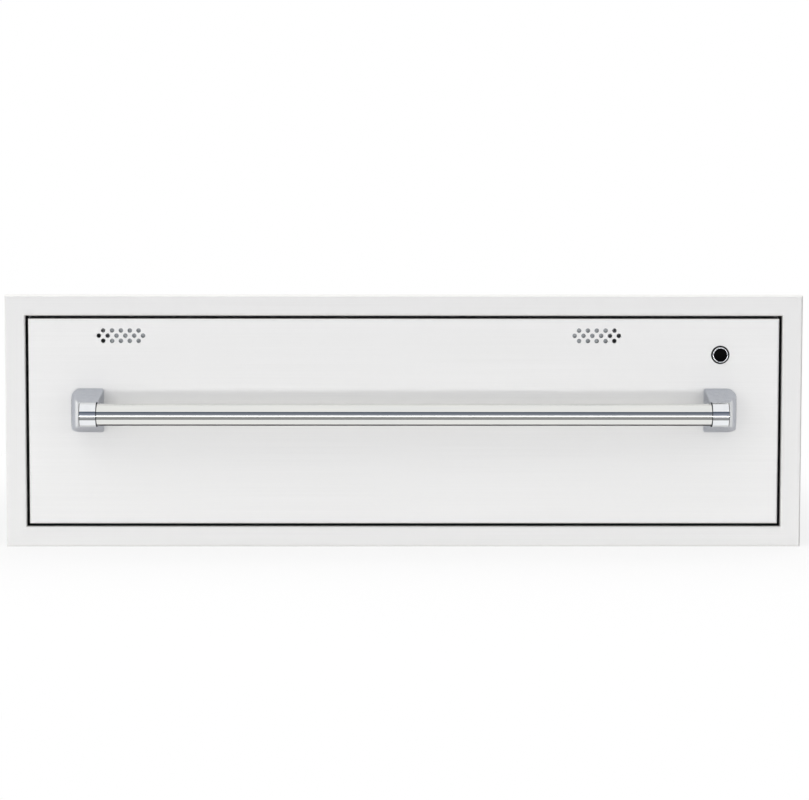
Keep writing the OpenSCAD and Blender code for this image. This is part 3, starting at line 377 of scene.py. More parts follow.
# Rolled brass strip
BRASS = Finish("brass_strip_rolled", "#CFAE62", "#BF9C50", (0.24, 0.36), (1, 14, 1), 0.001, 1.0)
# Phenolic moulding: near black, slightly glossy
PHENOLIC = Finish("phenolic_moulded", "#191715", "#211E1B", (0.32, 0.46), (0.9, 0.9, 0.9), 0.006)
# Thermoplastic moulding: warm white with a spark-eroded texture
THERMOPLASTIC = Finish("polyamide_white_moulded", "#E9E6DC", "#E1DDD1", (0.42, 0.55), (0.7, 0.7, 0.7), 0.01)
# Grey nylon of the gland
NYLON = Finish("polyamide_grey_moulded", "#8E9294", "#85898B", (0.4, 0.54), (0.7, 0.7, 0.7), 0.01)
# Soft-touch moulding: a deep black with hardly any gloss
CAP_PLASTIC = Finish("button_plastic_soft_moulded", "#040404", "#070708", (0.3, 0.42), (0.7, 0.7, 0.7), 0.001, 0.0,
                     0.03)
# Glass-cloth board under green mask, with a weave of about 0.9 mm
LAMINATE = WovenLaminate("glass_laminate_masked", "#1F5B3A", "#2A6E47", (0.3, 0.42), (0.9, 0.9, 0.9), 0.004)


@contextmanager
def editing(piece: Piece, part: Part) -> Iterator[None]:
    """Open a piece in edit mode with nothing selected, and close it again.

    Args:
        piece: Mesh object to edit.
        part: What selections pick.
    """
    activate(piece)
    bpy.ops.object.mode_set(mode="EDIT")
    bpy.ops.mesh.select_mode(type=part.value)
    bpy.ops.mesh.select_all(action="DESELECT")
    yield
    bpy.ops.object.mode_set(mode="OBJECT")


def activate(piece: Piece) -> None:
    """Make a piece the only selected object.

    Args:
        piece: Object to select and make active.
    """
    bpy.ops.object.select_all(action="DESELECT")
    piece.select_set(True)
    bpy.context.view_layer.objects.active = piece


def pick(piece: Piece, part: Part, test: Test) -> None:
    """Select the points, edges or faces of a piece in edit mode that pass a test.

    Args:
        piece: Mesh object in edit mode.
        part: What to test.
        test: Takes the middle, and the direction of an edge or the normal of a face or point.
    """
    mesh = bmesh.from_edit_mesh(piece.data)
    for point in mesh.verts if part is Part.POINT else ():
        point.select_set(test(point.co, point.normal))
    for edge in mesh.edges if part is Part.EDGE else ():
        start, end = (point.co for point in edge.verts)
        edge.select_set(test((start + end) / 2, (end - start).normalized()))
    for face in mesh.faces if part is Part.FACE else ():
        face.select_set(test(face.calc_center_median(), face.normal))
    mesh.select_flush_mode()
    bmesh.update_edit_mesh(piece.data)


def begin(name: str, primitive: Callable[..., set], scale: Triple = (1.0, 1.0, 1.0),
          **settings: object) -> Piece:
    """Add a primitive at its size and place, with its place applied to its mesh.

    Args:
        name: Name of the new object.
        primitive: Blender's operator that adds it.
        scale: Stretch along its own axes, which most of these operators don't take.
        **settings: Settings of the operator.

    Returns:
        The new object.
    """
    bpy.ops.object.select_all(action="DESELECT")
    primitive(**settings)
    piece = bpy.context.object
    piece.name = name
    piece.scale = scale
    bpy.ops.object.transform_apply(location=True, rotation=True, scale=True)
    return piece


def block(name: str, low: Vector, high: Vector) -> Piece:
    """Begin a piece as a block between two corners."""
    return begin(name, bpy.ops.mesh.primitive_cube_add, size=1, location=(low + high) / 2, scale=high - low)


def rod(name: str, axis: Axis, middle: Vector, radius: float, length: float, sides: int,
        ends: str = "NGON") -> Piece:
    """Begin a piece as a round or many-sided rod along an axis."""
    return begin(name, bpy.ops.mesh.primitive_cylinder_add, vertices=sides, radius=radius, depth=length,
                 end_fill_type=ends, location=middle, rotation=axis.value)


def turned(name: str, middle: Vector, steps: list[tuple[float, float]], sides: int, ring: bool) -> Piece:
    """Turn a piece about a line along Y, step by step, as on a lathe.

    Args:
        name: Name of the new object.
        middle: Point on the axis that the steps are measured from.
        steps: Radius and place along Y of each step, in metres.
        sides: Facets round the axis.
        ring: Whether the last step joins the first; otherwise both ends are closed by faces.

    Returns:
        The closed piece.
    """
    radius, along = steps[0]
    piece = begin(name, bpy.ops.mesh.primitive_circle_add, vertices=sides, radius=radius,
                  location=middle + Vector((0, along, 0)), rotation=Axis.Y.value)
    with editing(piece, Part.EDGE):
        bpy.ops.mesh.select_all(action="SELECT")
        if not ring:
            bpy.ops.mesh.edge_face_add()
            bpy.ops.mesh.select_all(action="SELECT")
        for (old_radius, old_along), (radius, along) in zip(steps, steps[1:]):
            bpy.ops.mesh.extrude_region_move(TRANSFORM_OT_translate={"value": (0, along - old_along, 0)})
            share = radius / old_radius
            bpy.ops.transform.resize(value=(share, 1, share),
                                     center_override=middle + Vector((0, along, 0)))
        if ring:
            bpy.ops.mesh.select_all(action="DESELECT")
            bpy.ops.mesh.select_non_manifold()
            bpy.ops.mesh.bridge_edge_loops()
        outward()
    return piece


def outward() -> None:
    """Merge doubled points of the piece in edit mode and turn all its faces outwards."""
    bpy.ops.mesh.select_all(action="SELECT")
    bpy.ops.mesh.remove_doubles(threshold=MERGE)
    bpy.ops.mesh.normals_make_consistent(inside=False)


def apply(piece: Piece, kind: str, **settings: object) -> None:
    """Give a piece a modifier and apply it.

    Args:
        piece: Mesh object.
        kind: Blender's name of the modifier.
        **settings: Properties of the modifier.
    """
    activate(piece)
    modifier = piece.modifiers.new(kind.lower(), kind)
    for name, value in settings.items():
        setattr(modifier, name, value)
    bpy.ops.object.modifier_apply(modifier=modifier.name)


def shape(piece: Piece, how: Shaping, tool: Piece) -> None:
    """Unite a piece with a tool solid, keep what they share, or cut the tool out. The tool is used up."""
    apply(piece, "BOOLEAN", operation=how.value, object=tool, solver="EXACT")
    bpy.data.objects.remove(tool, do_unlink=True)


def soften(piece: Piece, width: float, segments: int, angle: float = 35.0) -> None:
    """Round every edge of a piece that is sharper than an angle in degrees."""
    apply(piece, "BEVEL", width=width, segments=segments, limit_method="ANGLE", angle_limit=math.radians(angle),
          use_clamp_overlap=True)


def smooth(piece: Piece, angle: float, level: bool = False) -> None:
    """Shade a piece smooth across edges flatter than an angle in degrees.

    Args:
        piece: Mesh object.
        angle: Edges sharper than this stay sharp.
        level: Whether large faces keep their own normals, so that a polished flat mirrors as a flat.
    """
    activate(piece)
    bpy.ops.object.shade_smooth_by_angle(angle=math.radians(angle))
    if level:
        apply(piece, "WEIGHTED_NORMAL", mode="FACE_AREA", weight=100, keep_sharp=True)


def copied(piece: Piece, name: str, place: Matrix) -> Piece:
    """Copy a piece with its own mesh and move the copy's mesh to its place.

    Args:
        piece: Piece that is modelled at the origin.
        name: Name of the copy.
        place: Where the copy goes.

    Returns:
        The copy, with its object at the origin.
    """
    activate(piece)
    bpy.ops.object.duplicate(linked=False)
    copy = bpy.context.object
    copy.name = name
    copy.matrix_world = place
    bpy.ops.object.transform_apply(location=True, rotation=True, scale=True)
    if place.determinant() < 0:
        with editing(copy, Part.FACE):
            outward()
    return copy


def joined(name: str, pieces: list[Piece]) -> Piece:
    """Join pieces into one object under one name.

    Args:
        name: Name of the joined object.
        pieces: Pieces to join.

    Returns:
        The joined object.
    """
    activate(pieces[0])
    for piece in pieces:
        piece.select_set(True)
    bpy.ops.object.join()
    pieces[0].name = name
    return pieces[0]


def install(piece: Piece, finish: Finish, body: str, slot: str, *nodes: str) -> None:
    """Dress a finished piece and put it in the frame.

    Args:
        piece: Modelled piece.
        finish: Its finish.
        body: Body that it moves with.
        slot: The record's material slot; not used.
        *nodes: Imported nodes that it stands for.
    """
    piece.data.materials.clear()
    piece.data.materials.append(finish.material())
    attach(piece, body)
    if nodes:
        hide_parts(*nodes)
    log.info("%s: %d faces, %s, on %s", piece.name, len(piece.data.polygons), finish.name, body)


def dress(finish: Finish, *nodes: str) -> None:
    """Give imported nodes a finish.

    Args:
        finish: Their finish.
        *nodes: Names of the nodes.
    """
    for node in nodes:
        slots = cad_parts[node].data.materials
        slots.clear()
        slots.append(finish.material())
        log.info("%s: %s", node, finish.name)


def solids(node: str) -> list[Box]:
    """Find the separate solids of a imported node.

    Args:
        node: Name of the node.

    Returns:
        Lowest and highest corner of each solid.
    """
    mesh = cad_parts[node].data
    group: dict[tuple[int, ...], tuple[int, ...]] = {}

    def root(key: tuple[int, ...]) -> tuple[int, ...]:
        """The key that stands for a point's solid."""
        while group.setdefault(key, key) != key:
            key = group[key]
        return key

    keys = [tuple(round(c / SAME_PLACE) for c in point.co) for point in mesh.vertices]
    for face in mesh.polygons:
        first, *others = (keys[i] for i in face.vertices)
        for other in others:
            group[root(other)] = root(first)
    boxes: dict[tuple[int, ...], Box] = {}
    for key, point in zip(keys, mesh.vertices):
        low, high = boxes.get(root(key), (point.co, point.co))
        boxes[root(key)] = (Vector(map(min, low, point.co)), Vector(map(max, high, point.co)))
    return list(boxes.values())


@dataclass
class Studio:
    """Floor, reflection cards, lamps, world and the camera of the photograph."""

    azimuth: float = 0.545
    elevation: float = 5.5175
    distance: float = 3.773
    roll: float = 0.0666
    focal_pixels: float = 3263.1
    target: Vector = Vector((0.0006, -0.02, 0.1499))
    floor_size: float = 40.0
    floor_drop: float = 0.5 * MM
    floor_tone: str = "#F4F4F4"
    ambient: float = 0.62
    floor_share: float = 0.3
    fade_start: float = 0.45
    fade_end: float = 1.1
    card_distance: float = 14.0
    card_level: float = 0.138
    card_width: float = 90.0
    board_tone: str = "#4A4A4A"
    board_middle: Vector = Vector((6.0, 0.5, 3.0))
    board_size: Triple = (10.0, 11.0, 1.0)

    def build(self) -> None:
        """Set up the whole studio."""
        bpy.context.scene.view_settings.view_transform = "Standard"
        self.camera()
        self.world()
        self.floor()
        self.cards()
        self.lamps()

    def camera(self) -> None:
        """Stand the camera where the photograph was taken."""
        data = bpy.data.cameras.new("photo_view")
        data.sensor_fit = "HORIZONTAL"
        data.sensor_width = SENSOR_WIDTH
        data.lens = self.focal_pixels * SENSOR_WIDTH / PHOTO_WIDTH
        camera = bpy.data.objects.new("photo_view", data)
        bpy.context.collection.objects.link(camera)
        az, el = math.radians(self.azimuth), math.radians(self.elevation)
        back = Vector((-math.sin(az) * math.cos(el), -math.cos(az) * math.cos(el), math.sin(el)))
        turn = (-back).to_track_quat("-Z", "Y").to_matrix().to_4x4()
        camera.matrix_world = (Matrix.Translation(self.target + back * self.distance) @ turn
                               @ Matrix.Rotation(math.radians(self.roll), 4, "Z"))
        bpy.context.scene.camera = camera

    def seen(self, tree: Tree) -> Socket:
        """Tell rays that show the background, straight or in metal and glass, from those that only carry light.

        Args:
            tree: Node tree of the floor or the world.

        Returns:
            1 for a ray that shows the background, otherwise 0.
        """
        path = add_node(tree, "LightPath")
        straight = reckon(tree, "MAXIMUM", path.outputs["Is Camera Ray"], path.outputs["Is Glossy Ray"])
        return reckon(tree, "MAXIMUM", straight, path.outputs["Is Transmission Ray"])

    def world(self) -> None:
        """A white room that is seen at full strength and lights the object a little less."""
        world = bpy.data.worlds.new("white_room")
        bpy.context.scene.world = world
        tree = blank(world)
        light = add_node(tree, "Background", {"Color": linear(WHITE), "Strength": self.ambient})
        white = add_node(tree, "Background", {"Color": linear(WHITE), "Strength": 1.0})
        mixed = add_node(tree, "MixShader", {
            0: self.seen(tree), 1: light.outputs[0], 2: white.outputs[0]})
        add_node(tree, "OutputWorld", {"Surface": mixed.outputs[0]})

    def floor(self) -> None:
        """A pale floor that fades into the white room and keeps the object's shadow."""
        floor = begin("floor", bpy.ops.mesh.primitive_plane_add, size=self.floor_size,
                      location=(0, 0, CAD_BOX[0].z - self.floor_drop))
        material = bpy.data.materials.new("floor_paint_pale")
        tree = blank(material)
        matt = add_node(tree, "BsdfDiffuse", {"Color": linear(self.floor_tone)})
        white = add_node(tree, "Emission", {"Color": linear(WHITE), "Strength": 1.0})
        place = add_node(tree, "TexCoord").outputs["Object"]
        far = add_node(tree, "VectorMath", {0: place}, operation="LENGTH")
        room = add_node(tree, "MapRange", {
            "Value": far.outputs["Value"], "From Min": self.fade_start, "From Max": self.fade_end,
            "To Min": 1 - self.floor_share, "To Max": 1.0}, interpolation_type="SMOOTHSTEP")
        share = reckon(tree, "MULTIPLY", self.seen(tree), room.outputs["Result"])
        mixed = add_node(tree, "MixShader", {0: share, 1: matt.outputs[0], 2: white.outputs[0]})
        add_node(tree, "OutputMaterial", {"Surface": mixed.outputs[0]})
        floor.data.materials.append(material)
        floor.visible_glossy = False

    def card(self, name: str, colours: tuple[str, str], strength: float, **place: object) -> None:
        """Hang a card that only reflections show.

        Args:
            name: Name of the card.
            colours: Its colours at the lower and the upper edge.
            strength: Its light, where 1 is a plain white wall.
            **place: Its location, rotation and scale.
        """
        card = begin(name, bpy.ops.mesh.primitive_plane_add, size=1, **place)
        heights = [point.co.z for point in card.data.vertices]
        material = bpy.data.materials.new(name + "_paint")
        tree = blank(material)
        coordinates = add_node(tree, "TexCoord").outputs["Object"]
        height = add_node(tree, "SeparateXYZ", {"Vector": coordinates}).outputs["Z"]
        share = add_node(tree, "MapRange", {"Value": height, "From Min": min(heights), "From Max": max(heights)})
        fade = blend(tree, share.outputs["Result"], *map(linear, colours))
        glow = add_node(tree, "Emission", {"Color": fade, "Strength": strength})
        add_node(tree, "OutputMaterial", {"Surface": glow.outputs[0]})
        card.data.materials.append(material)
        card.visible_camera = card.visible_diffuse = card.visible_shadow = card.visible_transmission = False

    def cards(self) -> None:
        """The dark wall, softbox and grey ground that the polished handle shows, and a board at the right."""
        for name, colours, strength, low, high in (
                ("dark_card", ("#A8ACB6", "#3A475A"), 1.0, -8.0, 34.0),
                ("softbox_card", (WHITE, WHITE), 5.0, -14.5, -8.0),
                ("grey_card", ("#8C8C8C", "#ACACAC"), 1.0, -49.0, -14.5)):
            # The edges lie in these directions from the handle, in degrees above the level
            foot, head = (self.card_level + self.card_distance * math.tan(math.radians(way)) for way in (low, high))
            self.card(name, colours, strength, location=(0, -self.card_distance, (foot + head) / 2),
                      rotation=(math.pi / 2, 0, 0), scale=(self.card_width, head - foot, 1))
        self.card("side_board", (self.board_tone, self.board_tone), 1.0, location=self.board_middle,
                  rotation=Axis.X.value, scale=self.board_size)

    def lamp(self, name: str, power: float, size: float, place: Triple) -> None:
        """Hang a soft square lamp that faces the object and leaves no hot spot in the metal.

        Args:
            name: Name of the lamp.
            power: Its power in watts.
            size: Its side in metres.
            place: Where it hangs.
        """
        data = bpy.data.lights.new(name, "AREA")
        data.energy = power
        data.size = size
        lamp = bpy.data.objects.new(name, data)
        bpy.context.collection.objects.link(lamp)
        lamp.location = place
        lamp.rotation_euler = (self.target - lamp.location).to_track_quat("-Z", "Y").to_euler()
        lamp.visible_glossy = False

    def lamps(self) -> None:
        """Key from the upper left, fill from the right, and one lamp overhead and behind."""
        self.lamp("key_lamp", 95.0, 4.5, (-2.0, -3.0, 2.4))
        self.lamp("fill_lamp", 34.0, 2.8, (2.6, -2.6, 1.6))
        self.lamp("top_lamp", 26.0, 2.6, (0.3, 1.4, 3.0))


@dataclass
class Housing:
    """Face frame, shell, cover, rear panel, cavity liner and insulation."""

    # Where the painted shade in the gap round the drawer starts: this far inside the frame's outline and this deep
    # behind its face
    brushed_border: float = 22.9 * MM
    brushed_depth: float = 8.0 * MM
    frame_tones: tuple[str, str] = ("#F4F3F1", "#F1F0EE")

    def dress(self) -> None:
        """Give the sheet metal and the insulation their finishes."""
        low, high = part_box("face_frame")
        middle, half = (low + high) / 2, (high - low) / 2
        # The front's brushed sheet from another coil, a trace darker, with the grain along each rail, and painted
        # shade deep in its returns round the drawer
        frame_steel = MitredSteel(
            "stainless_steel_brushed_mitred", *self.frame_tones, FRONT_STEEL.roughness,
            FRONT_STEEL.grain_mm, FRONT_STEEL.relief_mm, FRONT_STEEL.metallic, middle=(middle.x, middle.z),
            half_size=(half.x, half.z), border=self.brushed_border, brushed_to=low.y + self.brushed_depth)
        dress(frame_steel, "face_frame")
        dress(ZINC_SHEET, "housing_shell", "top_cover", "rear_panel")
        dress(LINER_STEEL, "cavity_liner")
        dress(WOOL, "left_insulation", "right_insulation", "top_insulation", "floor_insulation", "rear_insulation")


@dataclass
class DrawerFront:
    """Skin, backing, insulation and vent baffle of the drawer front, and the works behind the button."""

    def dress(self) -> None:
        """Give the front's layers their finishes."""
        dress(FRONT_STEEL, "front_skin")
        dress(BIN_STEEL, "front_backing")
        dress(WOOL, "front_insulation")
        dress(BRACKET_STEEL, "vent_baffle", "control_box")
        dress(LAMINATE, "control_board")
        dress(NUT_STEEL, "button_nut")


@dataclass
class Handle:
    """Bar handle: a buffed tube in two chromed posts, each a flared foot that ends in a round nose."""

    nose_radius: float = 14.0 * MM
    bar_reach: float = 50.0 * MM
    nose_width: float = 19.7 * MM
    inner_lean: float = 4.0 * MM
    foot_bow: float = 4.0 * MM
    outer_corner: float = 6.5 * MM
    inner_corner: float = 2.5 * MM
    socket_depth: float = 13.0 * MM
    socket_gap: float = 0.05 * MM
    groove: float = 0.7 * MM
    polished: tuple[float, float] = (3.5 * MM, 11.0 * MM)
    bar_wall: float = 2.0 * MM
    # How far down a face of the bar points before it gets the painted underside shade
    drawn_share: float = 0.84
    edge_round: float = 0.3 * MM
    spare: float = 4.0 * MM
    trim: float = 0.05 * MM
    bar_ease: float = 0.3 * MM
    neck_step: float = 1.0 * MM
    outer_turn: float = 0.3
    inner_turn: float = 0.45
    bar_sides: int = 160
    nose_sides: int = 128
    foot_sides: int = 90
    bow_sides: int = 720

    def build(self) -> None:
        """Model both posts and the bar and put them on the drawer."""
        left = self.post()
        right = copied(left, "right_post_casting", Matrix.Scale(-1, 4, (1, 0, 0)))
        for post, node, out in ((left, "left_handle_post", -1), (right, "right_handle_post", 1)):
            smooth(post, angle=24, level=True)
            install(post, POST_CHROME, "drawer", "post_chrome", node)
            self.finishes(post, out)
        bar = self.bar()
        install(bar, BAR_STEEL, "drawer", "bar_steel", "handle_bar")
        # Painted shade: faces of the bar that point down get the dark finish
        self.coat(bar, 1, BAR_DRAWN, lambda at, normal: normal.z < -self.drawn_share)
        dress(SCREW_STEEL, "handle_screws")

    def post(self) -> Piece:
        """Model the left post as what its front, top and side views share.

        Returns:
            The post, with its socket.
        """
        low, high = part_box("left_handle_post")
        face, tip = high.y, low.y
        bar_y, middle_z = face - self.bar_reach, (low.z + high.z) / 2
        post = block("left_post_casting", Vector((low.x, tip - self.spare, low.z)), high)
        shape(post, Shaping.COMMON, self.foot_side(low, high))
        half = (high.z - low.z) / 2
        with editing(post, Part.EDGE):
            for way_out, radius in ((-1, self.outer_corner), (1, self.inner_corner)):
                pick(post, Part.EDGE, lambda at, way: abs(way.y) > ALONG and abs(at.z - middle_z) > half - NEAR
                     and (at.x - (low.x + high.x) / 2) * way_out > 0)
                bpy.ops.mesh.bevel(offset=radius, offset_type="OFFSET", segments=CORNER_STEPS, affect="EDGES",
                                   clamp_overlap=False)
            bpy.ops.mesh.select_all(action="SELECT")
            bpy.ops.mesh.bisect(plane_co=(high.x, face, middle_z), use_fill=True, clear_outer=True, threshold=MERGE,
                                plane_no=Vector((face - tip, -self.inner_lean, 0)).normalized())
        shape(post, Shaping.COMMON, self.outer_bow(low, high))
        shape(post, Shaping.COMMON, self.side_view(low, high))
        socket_x = high.x - self.inner_lean - self.socket_depth
        socket_length = self.socket_depth + 2 * self.nose_radius
        bar_low, bar_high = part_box("handle_bar")
        shape(post, Shaping.CUT, rod("socket", Axis.X, Vector((socket_x + socket_length / 2, bar_y, middle_z)),
                                     (bar_high.z - bar_low.z) / 2 + self.socket_gap, socket_length, self.nose_sides))
        with editing(post, Part.POINT):
            bpy.ops.mesh.select_all(action="SELECT")
            bpy.ops.mesh.dissolve_degenerate(threshold=self.trim)
        soften(post, self.edge_round, segments=3)
        nose_out, nose_in = high.x - self.inner_lean - self.nose_width, high.x - self.inner_lean
        for end, start, stop in (("outer", nose_out - self.spare, nose_out + self.groove),
                                 ("inner", nose_in - self.groove, nose_in + self.spare)):
            shape(post, Shaping.CUT, self.groove_ring(end, start, stop, bar_y, middle_z))
        return post

    def groove_ring(self, end: str, start: float, stop: float, bar_y: float, middle_z: float) -> Piece:
        """A ring round the front of the nose that cuts a shadow groove at one of its ends.

        Args:
            end: Which end of the nose.
            start: Where the ring begins along X.
            stop: Where it ends.
            bar_y: Depth of the bar's axis.
            middle_z: Height of the bar's axis.

        Returns:
            The half ring.
        """
        axis = Vector(((start + stop) / 2, bar_y, middle_z))
        outer = self.nose_radius + self.spare
        ring = rod(f"{end}_groove", Axis.X, axis, outer, stop - start, self.nose_sides)
        shape(ring, Shaping.CUT, rod("groove_floor", Axis.X, axis, self.nose_radius - self.groove,
                                     stop - start + MM, self.nose_sides))
        half = Vector((stop - start, outer, 2 * outer))
        shape(ring, Shaping.CUT, block("back_half", axis + Vector((-half.x, 0, -half.z)), axis + half))
        return ring

    def finishes(self, post: Piece, out: int) -> None:
        """Keep the nose and the flank beside it polished, give the other faces a satin finish with painted shade, and
        paint the grooves and socket dark as shade.

        Args:
            post: Finished post, already dressed in polished chrome.
            out: Direction of its outer flank along X.
        """
        low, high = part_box("handle_bar")
        axis = (low + high) / 2
        nose_end, flank_end = (axis.y + reach for reach in self.polished)

        def flare(at: Vector, normal: Vector) -> bool:
            """Whether a face is on the flare, the inner side or the foot's part of the outer flank."""
            outwards = normal.x * out
            return at.y > (flank_end if outwards > self.outer_turn else nose_end) or outwards < -self.inner_turn

        def hidden(at: Vector, normal: Vector) -> bool:
            """Whether a face is in a groove or in the socket."""
            return Vector((at.y - axis.y, at.z - axis.z)).length < self.nose_radius - self.groove / 4 and at.y < axis.y

        # Painted shade: the flare, the inner side and the foot's part of the outer flank get a darker grey than the
        # polished nose
        self.coat(post, 1, POST_SATIN, flare)
        # Painted shade: the faces in the grooves and the socket are painted dark
        self.coat(post, 2, POST_BARE, hidden)

    def coat(self, piece: Piece, slot: int, finish: Finish, test: Test) -> None:
        """Give the faces of a dressed piece that pass a test another finish.

        Args:
            piece: Piece that has its main finish.
            slot: Number of the new material slot.
            finish: The other finish.
            test: Takes the middle and the normal of a face.
        """
        piece.data.materials.append(finish.material())
        piece.active_material_index = slot
        with editing(piece, Part.FACE):
            pick(piece, Part.FACE, test)
            bpy.ops.object.material_slot_assign()

    def foot_side(self, low: Vector, high: Vector) -> Piece:
        """A wide cylinder along Y whose side is the foot's bowed outer side, in facets longer than its corners.

        Args:
            low: Lowest corner of the post's box.
            high: Its highest corner.

        Returns:
            The solid that the post shares.
        """
        half = (high.z - low.z) / 2
        radius = (half ** 2 + self.foot_bow ** 2) / (2 * self.foot_bow)
        return rod("foot_side", Axis.Y, Vector((low.x + radius, high.y, (low.z + high.z) / 2)), radius,
                   4 * (high.y - low.y), self.foot_sides)

    def outer_bow(self, low: Vector, high: Vector) -> Piece:
        """A wide cylinder whose side bows from the foot's outer edge to the bar's axis, and a straight nose.

        Args:
            low: Lowest corner of the post's box.
            high: Its highest corner.

        Returns:
            The solid that the post shares.
        """
        lean = high.x - low.x - self.inner_lean - self.nose_width
        radius = (self.bar_reach ** 2 + lean ** 2) / (2 * lean)
        middle = Vector((low.x + self.trim + radius, high.y, (low.z + high.z) / 2))
        tall = Vector((0, 0, high.z - low.z))
        bow = rod("outer_bow", Axis.Z, middle, radius, 2 * tall.z, self.bow_sides)
        nose = block("nose_end", Vector((low.x + self.trim + lean, low.y - 2 * self.spare, low.z)) - tall / 4,
                     Vector((high.x + self.spare, high.y - self.bar_reach + self.spare / 2, high.z)) + tall / 4)
        shape(bow, Shaping.UNITE, nose)
        return bow

    def side_view(self, low: Vector, high: Vector) -> Piece:
        """The flare of the foot and the round nose, as wide as they need to be.

        Args:
            low: Lowest corner of the post's box.
            high: Its highest corner.

        Returns:
            The solid that the post shares.
        """
        middle_z, bar_y = (low.z + high.z) / 2, high.y - self.bar_reach
        foot, neck = (high.z - low.z) / 2 + self.trim, self.nose_radius - self.neck_step
        tall = foot + (foot - neck) / self.bar_reach * self.spare
        flare = block("flare", Vector((low.x - self.spare, bar_y, middle_z - tall)),
                      Vector((high.x + self.spare, high.y + self.spare, middle_z + tall)))
        with editing(flare, Part.FACE):
            pick(flare, Part.FACE, lambda at, normal: normal.y < -ALONG)
            bpy.ops.transform.resize(value=(1, 1, neck / tall),
                                     center_override=((low.x + high.x) / 2, bar_y, middle_z))
        nose = rod("nose", Axis.X, Vector(((low.x + high.x) / 2, bar_y, middle_z)), self.nose_radius,
                   2 * (high.x - low.x), self.nose_sides)
        shape(flare, Shaping.UNITE, nose)
        return flare

    def bar(self) -> Piece:
        """Model the tube between the posts.

        Returns:
            The tube, with its wall and eased rims.
        """
        low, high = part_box("handle_bar")
        bar = rod("handle_tube", Axis.X, (low + high) / 2, (high.z - low.z) / 2, high.x - low.x, self.bar_sides,
                  "NOTHING")
        apply(bar, "SOLIDIFY", thickness=self.bar_wall, offset=-1.0)
        soften(bar, self.bar_ease, segments=2, angle=60)
        smooth(bar, angle=15)
        return bar


@dataclass
class PushButton:
    """The button's dished cap, its turned bezel and the rubber washer under it."""

    edge: float = 0.7 * MM
    dish: float = 0.6 * MM
    dish_rim: float = 0.9 * MM
    dish_steps: int = 10
    rim_step: float = 0.1 * MM
    cap_edge: float = 0.6 * MM
    cap_gap: float = 0.2 * MM
    cap_spare: float = 3.0 * MM
    lip: float = 0.3 * MM
    flange_step: float = 0.6 * MM
    washer_lap: float = 0.5 * MM
    washer_ease: float = 0.25 * MM
    sides: int = 96

    def build(self) -> None:
        """Turn the three pieces and put them on the drawer and the button."""
        install(self.washer(), RUBBER, "drawer", "washer_rubber", "button_washer")
        install(self.bezel(), BEZEL_CHROME, "drawer", "bezel_chrome", "button_bezel")
        install(self.cap(), CAP_PLASTIC, "button", "cap_plastic", "push_button")

    def arc(self, radius: float, along: float, size: float, start: float, stop: float,
            count: int = 5) -> list[tuple[float, float]]:
        """Points on a quarter round, as steps of the lathe.

        Args:
            radius: Radius of the arc's centre about the lathe's axis.
            along: Place of the arc's centre along the axis.
            size: Radius of the arc.
            start: First angle in degrees, from outwards towards +Y.
            stop: Last angle.
            count: Number of points.

        Returns:
            Radius and place of each point.
        """
        angles = [math.radians(start + (stop - start) * i / (count - 1)) for i in range(count)]
        return [(radius + size * math.cos(a), along + size * math.sin(a)) for a in angles]

    def washer(self) -> Piece:
        """Turn a flat ring with eased outer edges.

        Returns:
            The washer.
        """
        low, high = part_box("button_washer")
        middle, outer = (low + high) / 2, (high.x - low.x) / 2
        bore = (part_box("button_bezel")[1].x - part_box("button_bezel")[0].x) / 2 - self.washer_lap
        half, ease = (high.y - low.y) / 2, self.washer_ease
        steps = [(bore, half), *self.arc(outer - ease, half - ease, ease, 90, 0, 4),
                 *self.arc(outer - ease, ease - half, ease, 0, -90, 4), (bore, -half)]
        washer = turned("button_rubber", middle, steps, self.sides, True)
        smooth(washer, angle=35)
        return washer

    def bezel(self) -> Piece:
        """Turn a rounded flange with a deep pocket for the cap, and the barrel behind it.

        Returns:
            The bezel.
        """
        low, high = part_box("button_bezel")
        cap_low, cap_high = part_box("push_button")
        face = Vector(((low.x + high.x) / 2, low.y, (low.z + high.z) / 2))
        outer, pocket = (high.x - low.x) / 2, (cap_high.x - cap_low.x) / 2 + self.cap_gap
        flange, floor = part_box("button_washer")[0].y - low.y, cap_high.y - low.y + self.cap_spare
        barrel = outer - self.flange_step
        steps = [(pocket, floor), *self.arc(pocket + self.lip, self.lip, self.lip, 180, 270, 4),
                 *self.arc(outer - self.edge, self.edge, self.edge, 270, 360, 7),
                 (outer, flange), (barrel, flange), (barrel, high.y - low.y)]
        bezel = turned("button_ring", face, steps, self.sides, False)
        smooth(bezel, angle=35)
        return bezel

    def cap(self) -> Piece:
        """Turn a cap with a shallow dish inside a rounded rim.

        Returns:
            The cap.
        """
        low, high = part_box("push_button")
        face = Vector(((low.x + high.x) / 2, low.y, (low.z + high.z) / 2))
        outer, edge = (high.x - low.x) / 2, self.cap_edge
        rim = outer - self.dish_rim
        bowl = [(rim * math.sin(a), self.dish * math.cos(a) ** 2)
                for a in (math.pi / 2 * i / self.dish_steps for i in range(1, self.dish_steps))]
        steps = [*bowl, *self.arc(rim + self.rim_step, edge, edge, 270, 280, 2),
                 *self.arc(outer - edge, edge, edge, 285, 360, 5), (outer, high.y - low.y)]
        cap = turned("button_cap", face, steps, self.sides, False)
        smooth(cap, angle=40)
        return cap


